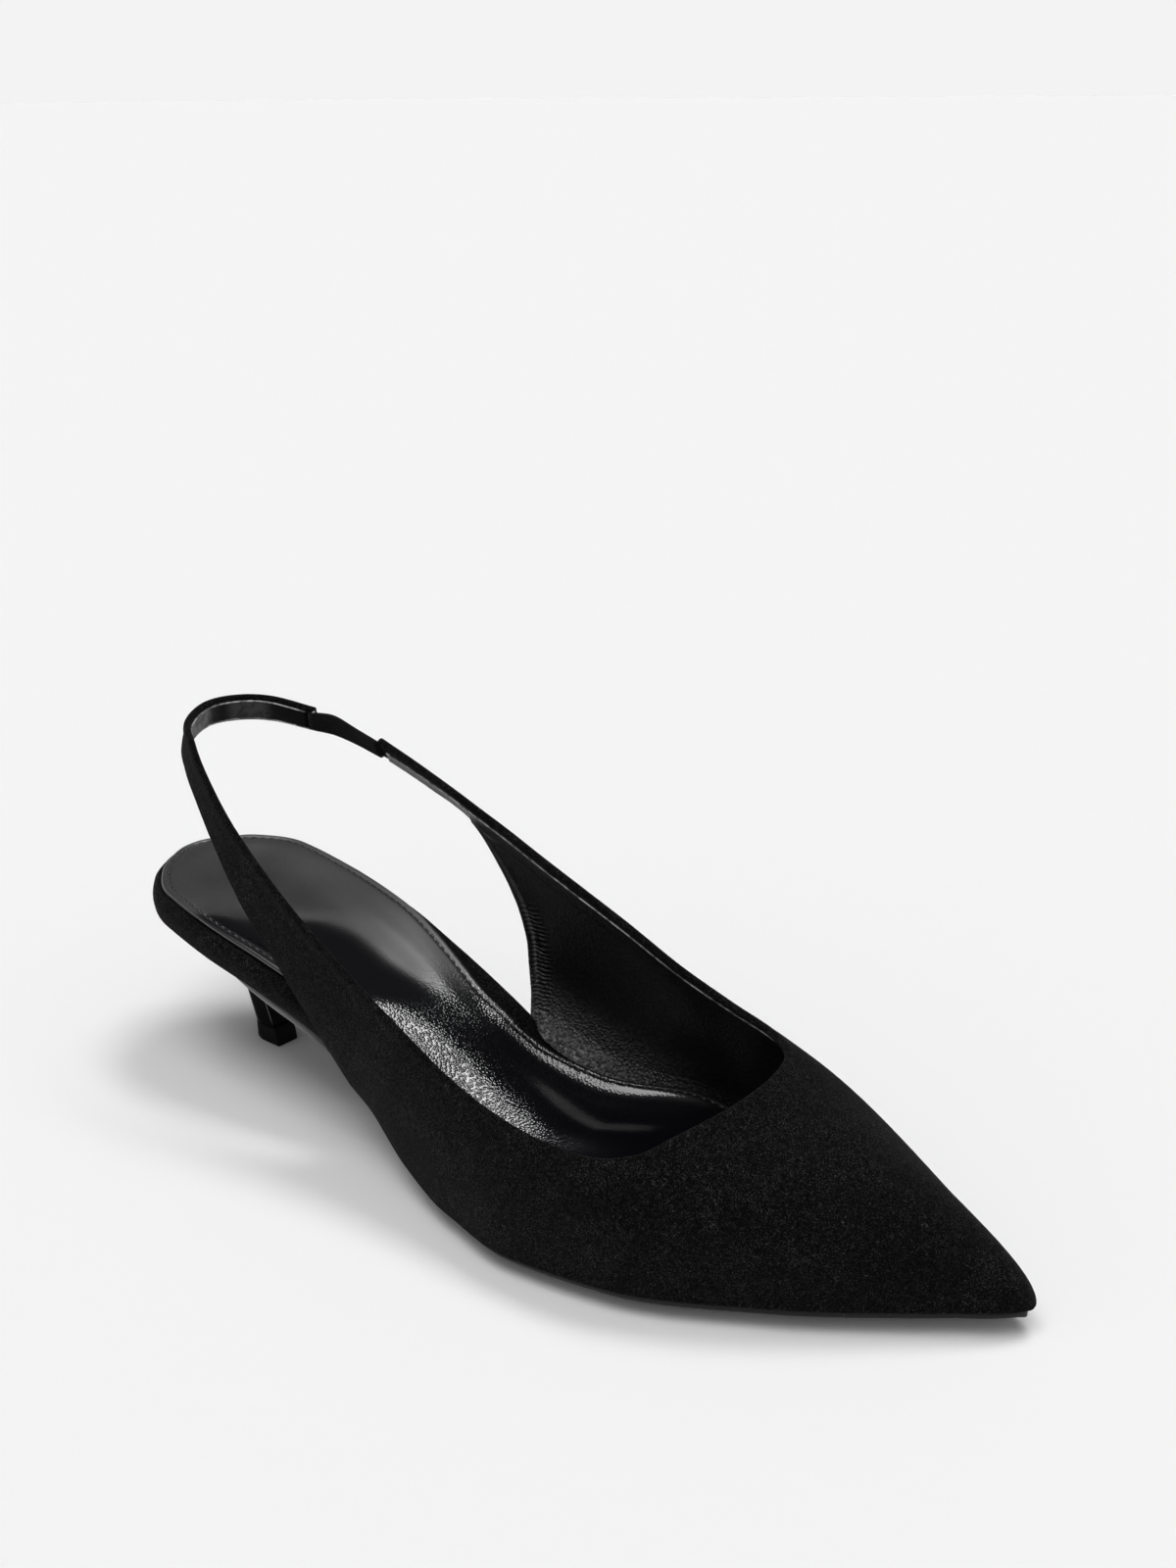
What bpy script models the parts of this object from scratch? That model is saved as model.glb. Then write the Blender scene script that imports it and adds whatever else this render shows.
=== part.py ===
"""Slingback pump, right shoe, as seven separate solids.

Sizes are in millimetres in the heel frame: x runs forward from the back of the insole sock along the
heel's own centre line, y is positive towards the inner (medial) side, z is up from the floor.
The finished shoe is turned so that +X runs from the heel to the toe tip, and is centred over the origin.
"""

import math

import bpy
import numpy as np

# Driving dimensions
MM = 0.001
REAR_X = -3.5
BOARD_TIP_X = 255.6
UPPER_TIP_X = 259.8
NOSE = 6.6
NOSE_POWER = 0.6
SWING_START = 80.0
SWING = 23.0
WAIST_X = 97.0
WAIST_SHIFT = 3.0
WAIST_REACH = 22.0
WALL = 1.8
GAP = 0.3
SOLE_THICK = 2.0
WAIST_TUCK = 1.5
TUCK_END = 135.0
TUCK_FADE = 30.0
SOCK_THICK = 2.2
SOCK_INSET = 2.8
SOCK_ARCH = 4.6
SOCK_ARCH_X = 92.0
SOCK_ARCH_REACH = 36.0
ARCH_EDGE = 2.2
ARCH_EDGE_X = 66.0
ARCH_EDGE_REACH = 20.0
FOREPART_SPREAD = 1.7
SPREAD_START = 110.0
SPREAD_FADE = 30.0
SPREAD_TOE_FADE = 36.0
HEEL_CORE = 24.0
TOE_CORE = 12.0
LEAST_HALF = 1.5
BOW_REACH = 1.3
BREAST_X = 43.0
SOLE_END = 0.993
ELASTIC_THICK = 1.2
ELASTIC_INSET = 0.08
HEEL_ROUND = 0.45
HEEL_BREAST_SHARE = 0.92

# Fineness of the solids: sections along, points across
BOARD_SECTIONS = 34
BOARD_ACROSS = 5
SOLE_SECTIONS = 45
SOLE_ACROSS = 9
UPPER_SECTIONS = 133
UPPER_ACROSS = 9
ELASTIC_SECTIONS = 13

# Insole board, a row per section: station x, half width, rim height, rim depth, cup, underside sag
BOARD = np.array([
    (-3.5, 0.0, 50.6, 9.0, 0.0, 0.0),
    (0.0, 10.5, 50.5, 9.2, 0.6, 0.0),
    (6.0, 18.6, 50.2, 9.5, 1.2, 0.0),
    (20.0, 26.6, 48.8, 9.4, 2.4, 0.0),
    (40.0, 28.0, 45.6, 9.3, 2.8, 0.0),
    (60.0, 26.6, 41.2, 9.3, 2.6, 0.2),
    (80.0, 25.3, 34.8, 9.0, 2.4, 0.6),
    (100.0, 26.4, 24.8, 8.0, 2.2, 1.2),
    (120.0, 29.6, 13.8, 5.6, 2.0, 2.2),
    (140.0, 34.0, 8.2, 3.4, 1.8, 2.8),
    (160.0, 38.6, 7.4, 2.8, 1.6, 3.0),
    (185.0, 36.8, 7.6, 2.8, 1.4, 3.0),
    (215.0, 25.6, 8.0, 2.8, 1.0, 2.4),
    (240.0, 11.9, 8.4, 2.8, 0.4, 1.2),
    (249.0, 6.4, 8.8, 2.8, 0.0, 0.5),
    (255.6, 0.0, 9.0, 2.8, 0.0, 0.2),
])

# Side of the covered board from its lower edge to its rim: inset, share of the rim depth
BOARD_SIDE = np.array([
    (3.2, 0.0),
    (1.3, 0.14),
    (0.3, 0.38),
    (0.0, 0.64),
    (0.6, 0.88),
    (1.7, 1.0),
])

# Edge of the insole sock from its foot to its top: inset, lift
SOCK_SIDE = np.array([
    (0.0, 0.0),
    (0.0, 0.9),
    (0.5, 1.5),
    (1.6, SOCK_THICK),
])

# Edge of the outsole against the upper's inner face: station x, margin
SOLE_MARGIN = np.array([
    (43.0, -5.5),
    (56.0, -3.4),
    (75.0, -2.2),
    (92.0, -0.9),
    (108.0, -0.3),
    (130.0, 0.2),
    (240.0, 0.2),
    (259.8, 0.0),
])

# Topline of the upper, a row per section: pace, x, y, z
TOPLINE = np.array([
    (0.0, 29.9, 22.7, 93.1),
    (1.0, 18.9, 16.5, 95.8),
    (2.0, 15.2, 8.0, 97.5),
    (3.0, 15.8, -2.2, 98.2),
    (4.0, 20.8, -11.6, 96.8),
    (5.0, 29.6, -17.2, 94.4),
    (6.0, 39.6, -21.4, 89.0),
    (7.0, 51.5, -23.6, 79.4),
    (8.0, 67.0, -25.1, 69.2),
    (9.0, 82.0, -26.2, 61.0),
    (10.0, 95.0, -26.8, 54.8),
    (11.0, 107.0, -27.4, 49.4),
    (12.0, 119.0, -28.0, 44.6),
    (13.0, 134.0, -29.0, 39.2),
    (14.0, 150.0, -29.8, 35.6),
    (15.0, 166.0, -29.6, 34.0),
    (16.0, 179.0, -27.2, 33.8),
    (17.0, 187.5, -22.0, 35.4),
    (18.0, 192.0, -14.0, 38.2),
    (19.0, 195.3, -3.6, 40.2),
    (20.0, 196.4, 6.8, 41.4),
    (21.0, 195.2, 16.4, 41.8),
    (22.0, 191.8, 24.4, 42.4),
    (23.0, 184.5, 27.4, 44.2),
    (24.0, 172.0, 28.0, 47.0),
    (25.0, 156.0, 27.4, 52.2),
    (26.0, 141.0, 25.6, 59.6),
    (27.0, 127.0, 23.2, 66.6),
    (28.0, 115.0, 21.0, 72.6),
    (29.0, 106.0, 19.6, 77.0),
    (30.0, 98.5, 18.4, 80.4),
    (31.0, 90.0, 17.6, 83.8),
    (32.0, 76.0, 17.2, 88.4),
    (33.0, 61.0, 18.2, 91.8),
])

# Lower edge of the sling strap and of the lateral quarter's back edge: pace, x, y, z
STRAP_LOW = np.array([
    (0.0, 29.4, 24.0, 85.7),
    (1.0, 17.7, 17.5, 88.0),
    (2.0, 14.2, 8.5, 89.8),
    (3.0, 14.8, -2.4, 90.6),
    (4.0, 20.0, -12.8, 88.8),
    (5.0, 28.2, -18.3, 85.2),
    (6.0, 36.0, -21.6, 80.2),
    (7.0, 46.2, -24.4, 70.6),
    (8.0, 58.6, -26.6, 58.7),
    (9.0, 70.6, -27.3, 48.6),
    (10.0, 80.8, -27.3, 39.6),
])

# Back edge of the medial quarter and lower edge of its strap stub: pace, x, y, z
STUB_LOW = np.array([
    (28.0, 105.7, 29.2, 32.0),
    (29.0, 105.7, 27.6, 47.0),
    (30.0, 101.5, 25.6, 61.5),
    (31.0, 92.5, 23.6, 75.0),
    (32.0, 76.0, 22.4, 81.6),
    (33.0, 58.5, 22.2, 86.0),
])

# Feather line of the vamp and quarters: pace, station x, side (-1 lateral, 1 medial)
FEATHER = np.array([
    (11.0, 95.0, -1.0),
    (12.0, 104.0, -1.0),
    (13.0, 122.0, -1.0),
    (14.0, 143.0, -1.0),
    (15.0, 165.0, -1.0),
    (16.0, 188.0, -1.0),
    (17.0, 211.0, -1.0),
    (18.0, 233.0, -1.0),
    (19.0, 249.5, -1.0),
    (20.0, 259.8, 1.0),
    (21.0, 248.5, 1.0),
    (22.0, 231.0, 1.0),
    (23.0, 208.0, 1.0),
    (24.0, 184.0, 1.0),
    (25.0, 160.0, 1.0),
    (26.0, 138.0, 1.0),
    (27.0, 118.0, 1.0),
    (27.5, 105.8, 1.0),
])

# Shape of the wall: pace, inward heading, lean at the lower edge, lean at the topline, rise, run, slide
WALL_SHAPE = np.array([
    (0.0, -50.0, 8.0, 8.0, 3.0, 3.0, 0.0),
    (2.0, -15.0, 4.0, 4.0, 3.0, 3.0, 0.0),
    (3.5, 20.0, 6.0, 6.0, 3.0, 3.0, 0.0),
    (6.0, 66.0, 10.0, 10.0, 4.0, 4.0, 0.0),
    (9.0, 88.0, 4.0, 6.0, 5.0, 6.0, 0.0),
    (11.0, 90.0, -30.0, 8.0, 9.0, 8.0, 0.0),
    (12.0, 90.0, -26.0, 12.0, 12.0, 9.0, 0.0),
    (13.0, 90.0, -12.0, 20.0, 13.0, 9.0, 0.0),
    (15.0, 92.0, -4.0, 32.0, 14.0, 10.0, 0.0),
    (17.0, 106.0, 0.0, 55.0, 14.0, 14.0, 0.0),
    (18.0, 126.0, 2.0, 66.0, 13.0, 19.0, 0.0),
    (19.0, 155.0, 4.0, 73.0, 12.0, 24.0, 0.0),
    (20.0, 185.0, 6.0, 75.0, 11.0, 26.0, 0.0),
    (21.0, 214.0, 8.0, 73.0, 10.5, 23.0, 0.0),
    (22.0, 238.0, 8.0, 66.0, 11.5, 18.0, 0.0),
    (23.0, 256.0, 0.0, 56.0, 14.0, 14.0, 0.0),
    (25.0, 268.0, -4.0, 42.0, 18.0, 14.0, 0.0),
    (27.0, 270.0, -4.0, 36.0, 18.0, 14.0, 0.5),
    (29.0, 270.0, 4.0, 40.0, 10.0, 10.0, 0.5),
    (31.0, 272.0, 30.0, 46.0, 3.5, 3.5, 0.33),
    (33.0, 276.0, 36.0, 36.0, 2.5, 2.5, 0.33),
])

# Elastic: share of its length, lower edge x, y, z, upper edge x, y, z
ELASTIC = np.array([
    (0.0, 29.8, 23.9, 86.0, 30.3, 22.7, 92.8),
    (0.35, 37.5, 24.4, 86.2, 38.5, 22.9, 93.6),
    (0.7, 48.0, 23.6, 86.2, 49.4, 21.2, 92.6),
    (1.0, 57.9, 22.0, 86.0, 60.4, 18.2, 92.6),
])

# Heel stem, a row per section: height, rear x, breast x, half width
HEEL = np.array([
    (5.8, 25.6, 35.6, 3.8),
    (10.0, 24.7, 34.4, 4.2),
    (14.4, 23.7, 33.5, 4.7),
    (19.0, 22.2, 33.4, 5.3),
    (24.0, 20.2, 34.8, 6.2),
    (29.5, 16.4, 38.0, 8.2),
    (36.0, 10.5, 42.4, 11.5),
])

# Top piece under the stem: height, rear x, breast x, half width
TOP_PIECE = np.array([
    (0.0, 25.6, 36.9, 3.5),
    (0.5, 25.4, 37.0, 3.7),
    (5.5, 25.6, 35.7, 3.8),
])

COLOURS = {
    "suede": (0.012, 0.012, 0.013, 1.0),
    "sock_leather": (0.03, 0.03, 0.033, 1.0),
    "sole": (0.02, 0.02, 0.02, 1.0),
    "gloss": (0.01, 0.01, 0.01, 1.0),
    "rubber": (0.018, 0.018, 0.018, 1.0),
    "elastic": (0.014, 0.014, 0.015, 1.0),
}


def slopes(keys, values):
    """Slopes of a smooth curve that never overshoots its rows."""
    step = np.diff(keys)
    rate = np.diff(values) / step
    found = np.zeros(len(keys))
    found[0] = rate[0]
    found[-1] = rate[-1]
    for i in range(1, len(keys) - 1):
        if rate[i - 1] * rate[i] > 0.0:
            first = 2.0 * step[i] + step[i - 1]
            second = step[i] + 2.0 * step[i - 1]
            found[i] = (first + second) / (first / rate[i - 1] + second / rate[i])
    return found


def along(keys, values, at, slope=None):
    """Cubic curve through the rows (keys, values), read at the places given."""
    slope = slopes(keys, values) if slope is None else slope
    at = np.clip(np.asarray(at, float), keys[0], keys[-1])
    i = np.clip(np.searchsorted(keys, at, side="right") - 1, 0, len(keys) - 2)
    step = keys[i + 1] - keys[i]
    t = (at - keys[i]) / step
    start = (1 + 2 * t) * (1 - t) ** 2 * values[i] + t * (1 - t) ** 2 * step * slope[i]
    end = t * t * (3 - 2 * t) * values[i + 1] + t * t * (t - 1) * step * slope[i + 1]
    return start + end


def flowing(keys, values, at):
    """Like along, but free to bend through its rows, for lines in space."""
    return along(keys, values, at, np.gradient(values, keys))


def turn(x, tip):
    """Place along the length as 0 at the back to 1 at the tip, stretched so that round ends stay round."""
    share = np.clip((np.asarray(x, float) - REAR_X) / (tip - REAR_X), 0.0, 1.0)
    return np.arccos(1.0 - 2.0 * share) / math.pi


def station(place, tip):
    return REAR_X + (tip - REAR_X) * (1.0 - np.cos(math.pi * np.asarray(place, float))) / 2.0


def board(x, column):
    return along(turn(BOARD[:, 0], BOARD_TIP_X), BOARD[:, column], turn(x, BOARD_TIP_X))


def middle(x):
    """Centre line in plan: straight through the heel and waist, swinging inwards to the toe."""
    share = np.clip(np.asarray(x, float) - SWING_START, 0.0, None) / (UPPER_TIP_X - SWING_START)
    waist = np.exp(-(((np.asarray(x, float) - WAIST_X) / WAIST_REACH) ** 2))
    return SWING * share ** 2 + WAIST_SHIFT * waist


def board_half(x):
    return board(x, 1)


def upper_half(x):
    """Half width of the upper's inner face along the feather line, tucked under a little at the waist."""
    x = np.asarray(x, float)
    nose_x = BOARD_TIP_X - NOSE
    inside = board_half(np.minimum(x, nose_x))
    tuck = WAIST_TUCK * np.clip((TUCK_END - x) / TUCK_FADE, 0.0, 1.0)
    nose = np.clip((UPPER_TIP_X - x) / (UPPER_TIP_X - nose_x), 0.0, 1.0)
    return (inside + GAP + WALL - tuck) * nose ** NOSE_POWER


def across_board(x, y):
    """Place across the board, -1 at its lateral edge and 1 at its medial edge."""
    return (y - middle(x)) / np.maximum(board_half(x), LEAST_HALF)


def board_under(x, y):
    """Underside of the board: bowed downwards across the foot, and flat where it would pass the floor."""
    edge = board(x, 2) - board(x, 3)
    bow = board(x, 5) * (1.0 - np.minimum(across_board(x, y) ** 2, BOW_REACH))
    return np.maximum(edge - bow, GAP + SOLE_THICK)


def seat(x, y):
    """Cupped top face of the board inside its rim."""
    half = np.maximum(board_half(x) - BOARD_SIDE[-1, 0], LEAST_HALF)
    across = np.clip((y - middle(x)) / half, -1.0, 1.0)
    return board(x, 2) - board(x, 4) * (1.0 - across ** 2)


def outline(count, inset, arch=0.0, spread=0.0):
    """Loop of plan points round the board, moved inwards, with more on the medial side at the arch.

    The spread widens the part that lies inside the closed upper.
    The loop runs up the medial side from back to toe, then down the lateral side.
    """
    place = np.arange(count + 1) / count
    x = station(place, BOARD_TIP_X)
    half = board_half(x)
    opened = np.clip((x - SPREAD_START) / SPREAD_FADE, 0.0, 1.0)
    closing = np.clip((BOARD_TIP_X - x) / SPREAD_TOE_FADE, 0.0, 1.0)
    sides = []
    for side in (1.0, -1.0):
        arch_edge = ARCH_EDGE * np.exp(-(((x - ARCH_EDGE_X) / ARCH_EDGE_REACH) ** 2)) * (side > 0.0)
        edge = np.stack([x, middle(x) + side * half + arch_edge], 1)
        core_x = np.clip(x, REAR_X + HEEL_CORE, BOARD_TIP_X - TOE_CORE)
        core = np.stack([core_x, middle(core_x)], 1)
        away = core - edge
        reach = np.linalg.norm(away, axis=1, keepdims=True)
        bend = np.exp(-(((x - SOCK_ARCH_X) / SOCK_ARCH_REACH) ** 2)) * (side > 0.0)
        move = (inset + arch * bend - spread * opened * closing)[:, None]
        sides.append(edge + away * np.minimum(move / np.maximum(reach, 1e-6), 0.9))
    return np.concatenate([sides[0], sides[1][-2:0:-1]])


def pad(rings, under, over, count, crossings):
    """Solid from stacked loops of points, closed below and above by strips run across it."""
    loop = len(rings[0])
    points = [np.asarray(ring) for ring in rings]
    faces = []
    for level in range(len(rings) - 1):
        for i in range(loop):
            j = (i + 1) % loop
            low = level * loop
            faces.append((low + i, low + loop + i, low + loop + j, low + j))
    for ring_index, height, flip in ((0, under, False), (len(rings) - 1, over, True)):
        ring = points[ring_index]
        base = ring_index * loop
        start = sum(len(block) for block in points)
        share = np.arange(1, crossings + 1) / (crossings + 1)
        medial = ring[1:count]
        lateral = ring[:count:-1]
        plan = medial[:, None, :2] + (lateral[:, None, :2] - medial[:, None, :2]) * share[None, :, None]
        plan = plan.reshape(-1, 2)
        points.append(np.column_stack([plan, height(plan[:, 0], plan[:, 1])]))
        lines = [[base]]
        for i in range(1, count):
            inner = [start + (i - 1) * crossings + k for k in range(crossings)]
            lines.append([base + i] + inner + [base + loop - i])
        lines.append([base + count])
        for first, second in zip(lines[:-1], lines[1:]):
            long_line = max(len(first), len(second))
            for k in range(long_line - 1):
                if len(first) == 1:
                    face = (first[0], second[k], second[k + 1])
                elif len(second) == 1:
                    face = (first[k], second[0], first[k + 1])
                else:
                    face = (first[k], second[k], second[k + 1], first[k + 1])
                faces.append(face[::-1] if flip else face)
    return np.concatenate(points), faces


def covered_board():
    """Insole board in its suede cover, with the rounded edge that shows round the heel and waist."""
    rings = []
    for inset, share in BOARD_SIDE:
        plan = outline(BOARD_SECTIONS, inset, spread=FOREPART_SPREAD)
        low = board_under(plan[:, 0], plan[:, 1])
        high = board(plan[:, 0], 2)
        rings.append(np.column_stack([plan, low + (high - low) * share]))
    return pad(rings, board_under, seat, BOARD_SECTIONS, BOARD_ACROSS)


def insole_sock():
    """Padded sock lying in the cup of the board."""
    rings = []
    for inset, lift in SOCK_SIDE:
        plan = outline(BOARD_SECTIONS, SOCK_INSET + inset, SOCK_ARCH)
        rings.append(np.column_stack([plan, seat(plan[:, 0], plan[:, 1]) + GAP + lift]))

    def under(x, y):
        return seat(x, y) + GAP

    def over(x, y):
        return seat(x, y) + GAP + SOCK_THICK

    return pad(rings, under, over, BOARD_SECTIONS, BOARD_ACROSS)


def sole_half(x):
    return upper_half(x) + along(SOLE_MARGIN[:, 0], SOLE_MARGIN[:, 1], x)


def bands(rings):
    """Faces between rings of equal count that follow one another."""
    count = len(rings[0])
    faces = []
    for level in range(len(rings) - 1):
        low = level * count
        high = low + count
        for i in range(count):
            j = (i + 1) % count
            faces.append((low + i, low + j, high + j, high + i))
    return faces


def outsole():
    """Thin sole from the heel breast to the toe, swept through sections across it."""
    place = np.linspace(turn(BREAST_X, UPPER_TIP_X), SOLE_END, SOLE_SECTIONS)
    across = np.linspace(-1.0, 1.0, SOLE_ACROSS)
    rings = []
    for x in station(place, UPPER_TIP_X):
        y = middle(x) + across * sole_half(x)
        top = board_under(x, y) - GAP
        under = np.column_stack([np.full(SOLE_ACROSS, x), y, top - SOLE_THICK])
        over = np.column_stack([np.full(SOLE_ACROSS, x), y, top])
        rings.append(np.concatenate([under, over[::-1]]))
    faces = bands(rings)
    last = (len(rings) - 1) * 2 * SOLE_ACROSS
    for k in range(SOLE_ACROSS - 1):
        above = 2 * SOLE_ACROSS - 1 - k
        faces.append((k, above, above - 1, k + 1))
        faces.append((last + k, last + k + 1, last + above - 1, last + above))
    return np.concatenate(rings), faces


def feather(place):
    """Lower edge of the upper's inner face: place runs 0 to 1 up the lateral side to the tip and on to 2."""
    place = np.asarray(place, float)
    side = np.where(place > 1.0, 1.0, -1.0)
    x = station(np.where(place > 1.0, 2.0 - place, place), UPPER_TIP_X)
    y = middle(x) + side * upper_half(x)
    return np.stack([x, y, board_under(x, y)], -1)


def feather_places():
    near = turn(FEATHER[:, 1], UPPER_TIP_X)
    return np.where(FEATHER[:, 2] > 0.0, 2.0 - near, near)


def lower_edge(pace):
    """Lower edge of the upper: strap, lateral back edge, feather line, medial back edge, strap stub."""
    places = feather_places()
    rows = np.concatenate([
        STRAP_LOW,
        np.column_stack([FEATHER[:, 0], feather(places)]),
        STUB_LOW,
    ])
    free = np.stack([flowing(rows[:, 0], rows[:, i], pace) for i in (1, 2, 3)], -1)
    held = feather(flowing(FEATHER[:, 0], places, pace))
    on_feather = (pace >= FEATHER[0, 0]) & (pace <= FEATHER[-1, 0])
    return np.where(on_feather[:, None], held, free)


def upper_grid(pace, rows):
    """Inner face of the upper, as the last gives it: a bent line from lower edge to topline at each pace."""
    low = lower_edge(pace)
    top = np.stack([flowing(TOPLINE[:, 0], TOPLINE[:, i], pace) for i in (1, 2, 3)], -1)
    shape = [along(WALL_SHAPE[:, 0], WALL_SHAPE[:, i], pace) for i in range(1, 7)]
    heading, low_lean, top_lean = (np.radians(column) for column in shape[:3])
    rise, run, slide = shape[3:]
    sideways = np.stack([-np.sin(heading), np.cos(heading), np.zeros(len(pace))], -1)
    drift = slide * np.sum((top - low) * sideways, -1)

    def leaning(lean):
        return np.stack([np.cos(heading) * np.sin(lean), np.sin(heading) * np.sin(lean), np.cos(lean)], -1)

    first = low + rise[:, None] * leaning(low_lean) + drift[:, None] * sideways
    second = top - run[:, None] * leaning(top_lean)
    t = np.linspace(0.0, 1.0, rows)[None, :, None]
    return (
        (1 - t) ** 3 * low[:, None]
        + 3 * t * (1 - t) ** 2 * first[:, None]
        + 3 * t * t * (1 - t) * second[:, None]
        + t ** 3 * top[:, None]
    )


def sheet(grid):
    """Open surface from a grid of points."""
    columns, rows = grid.shape[:2]
    faces = []
    for i in range(columns - 1):
        for k in range(rows - 1):
            a = i * rows + k
            faces.append((a, a + rows, a + rows + 1, a + 1))
    return grid.reshape(-1, 3), faces


def upper():
    """Upper from the sling strap round the vamp to the strap stub, its wall laid outside the last."""
    pace = np.linspace(TOPLINE[0, 0], TOPLINE[-1, 0], UPPER_SECTIONS)
    return sheet(upper_grid(pace, UPPER_ACROSS))


def elastic():
    """Woven strip between the strap's end and the stub's end, a little narrower than the strap."""
    share = np.linspace(0.0, 1.0, ELASTIC_SECTIONS)
    low = np.stack([flowing(ELASTIC[:, 0], ELASTIC[:, i], share) for i in (1, 2, 3)], -1)
    top = np.stack([flowing(ELASTIC[:, 0], ELASTIC[:, i], share) for i in (4, 5, 6)], -1)
    wide = np.array([ELASTIC_INSET, 0.5, 1.0 - ELASTIC_INSET])[None, :, None]
    return sheet(low[:, None] + (top - low)[:, None] * wide)


def heel_section(rear, breast, half):
    """Plan of the heel: flat breast and sides meeting at sharp ridges, rounded back."""
    depth = breast - rear
    bend = np.radians(np.linspace(90.0, 270.0, 9))
    back_x = rear + HEEL_ROUND * depth * (1.0 + np.cos(bend))
    back_y = half * np.sin(bend)
    x = np.concatenate([[breast], back_x, [breast], [breast]])
    corner = HEEL_BREAST_SHARE * half
    y = np.concatenate([[corner], back_y, [-corner], [0.0]])
    return np.column_stack([x, y])


def stack(rings):
    """Solid through rings of equal count, closed at both ends."""
    count = len(rings[0])
    faces = bands(rings)
    faces.append(tuple(range(count))[::-1])
    faces.append(tuple(range((len(rings) - 1) * count, len(rings) * count)))
    return np.concatenate(rings), faces


def heel_rings(rows):
    rings = []
    for height, rear, breast, half in rows:
        plan = heel_section(rear, breast, half)
        rings.append(np.column_stack([plan, np.full(len(plan), height)]))
    return rings


def heel():
    """Stem of the heel, from the top piece up to the underside of the board."""
    rings = heel_rings(HEEL)
    plan = rings[-1][:, :2]
    rings[-1] = np.column_stack([plan, board_under(plan[:, 0], plan[:, 1]) - GAP])
    return stack(rings)


def top_piece():
    return stack(heel_rings(TOP_PIECE))


def material(name, roughness, coat):
    made = bpy.data.materials.new(name)
    made.use_nodes = True
    shader = made.node_tree.nodes["Principled BSDF"]
    shader.inputs["Base Color"].default_value = COLOURS[name]
    shader.inputs["Roughness"].default_value = roughness
    shader.inputs["Coat Weight"].default_value = coat
    made.diffuse_color = COLOURS[name]
    return made


def to_shoe_frame(points):
    """Turns the heel frame so that the toe tip lies straight ahead of the heel, and scales to metres."""
    swing = math.atan2(SWING, UPPER_TIP_X - REAR_X)
    c, s = math.cos(swing), math.sin(swing)
    x, y, z = points.T
    return np.column_stack([c * x + s * y, c * y - s * x, z]) * MM


def place(name, solid, surface, collection, thickness=0.0):
    points, faces = solid
    mesh = bpy.data.meshes.new(name)
    mesh.from_pydata(to_shoe_frame(points).tolist(), [], faces)
    mesh.polygons.foreach_set("use_smooth", [True] * len(mesh.polygons))
    mesh.materials.append(surface)
    mesh.update()
    obj = bpy.data.objects.new(name, mesh)
    collection.objects.link(obj)
    if thickness:
        wall = obj.modifiers.new("wall", "SOLIDIFY")
        wall.thickness = thickness * MM
        wall.offset = 1.0
        wall.use_even_offset = True
        wall.use_quality_normals = True
    return obj


def main():
    for obj in list(bpy.data.objects):
        bpy.data.objects.remove(obj)
    collection = bpy.data.collections.new("slingback_pump")
    bpy.context.scene.collection.children.link(collection)
    suede = material("suede", 0.95, 0.0)
    made = [
        place("outsole", outsole(), material("sole", 0.45, 0.1), collection),
        place("covered_board", covered_board(), suede, collection),
        place("insole_sock", insole_sock(), material("sock_leather", 0.4, 0.2), collection),
        place("upper", upper(), suede, collection, WALL),
        place("elastic", elastic(), material("elastic", 0.85, 0.0), collection, ELASTIC_THICK),
        place("heel", heel(), material("gloss", 0.2, 0.6), collection),
        place("top_piece", top_piece(), material("rubber", 0.6, 0.0), collection),
    ]
    bpy.context.view_layer.update()
    graph = bpy.context.evaluated_depsgraph_get()
    corners = np.array([corner for obj in made for corner in obj.evaluated_get(graph).bound_box])
    centre = (corners.min(0) + corners.max(0)) / 2.0
    for obj in made:
        obj.location = (-centre[0], -centre[1], 0.0)


main()
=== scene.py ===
"""Looks of the slingback pump, right shoe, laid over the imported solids.

Sizes are in millimetres in the heel frame: x runs forward from the back of the insole sock along the
heel's own centre line, y is positive towards the inner (medial) side, z is up from the floor.
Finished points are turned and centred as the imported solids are, and are then in metres.
"""

import math

import bpy
import numpy as np
from mathutils import Matrix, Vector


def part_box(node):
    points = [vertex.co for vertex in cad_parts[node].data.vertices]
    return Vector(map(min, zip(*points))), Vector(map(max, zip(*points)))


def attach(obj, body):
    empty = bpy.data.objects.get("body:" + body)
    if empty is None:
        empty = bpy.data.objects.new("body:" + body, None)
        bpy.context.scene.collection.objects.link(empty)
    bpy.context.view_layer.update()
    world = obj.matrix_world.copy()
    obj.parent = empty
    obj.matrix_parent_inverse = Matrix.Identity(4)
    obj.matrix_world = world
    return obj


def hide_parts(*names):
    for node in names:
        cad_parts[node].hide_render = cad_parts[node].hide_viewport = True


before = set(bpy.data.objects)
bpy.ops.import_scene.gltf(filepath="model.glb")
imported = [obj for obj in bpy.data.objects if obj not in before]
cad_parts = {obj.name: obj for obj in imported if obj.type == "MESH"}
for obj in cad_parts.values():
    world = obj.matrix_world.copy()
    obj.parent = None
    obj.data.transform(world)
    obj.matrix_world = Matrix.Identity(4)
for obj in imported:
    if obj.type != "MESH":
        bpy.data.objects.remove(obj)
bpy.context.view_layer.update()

# Driving dimensions, shared with the solids
MM = 0.001
REAR_X = -3.5
BOARD_TIP_X = 255.6
UPPER_TIP_X = 259.8
NOSE = 6.6
NOSE_POWER = 0.6
SWING_START = 80.0
SWING = 23.0
WAIST_X = 97.0
WAIST_SHIFT = 3.0
WAIST_REACH = 22.0
WALL = 1.8
GAP = 0.3
SOLE_THICK = 2.0
SOLE_CORNER_SHARE = 0.4
WAIST_TUCK = 1.5
TUCK_END = 135.0
TUCK_FADE = 30.0
SOCK_INSET = 2.8
SOCK_ARCH = 5.8
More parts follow.
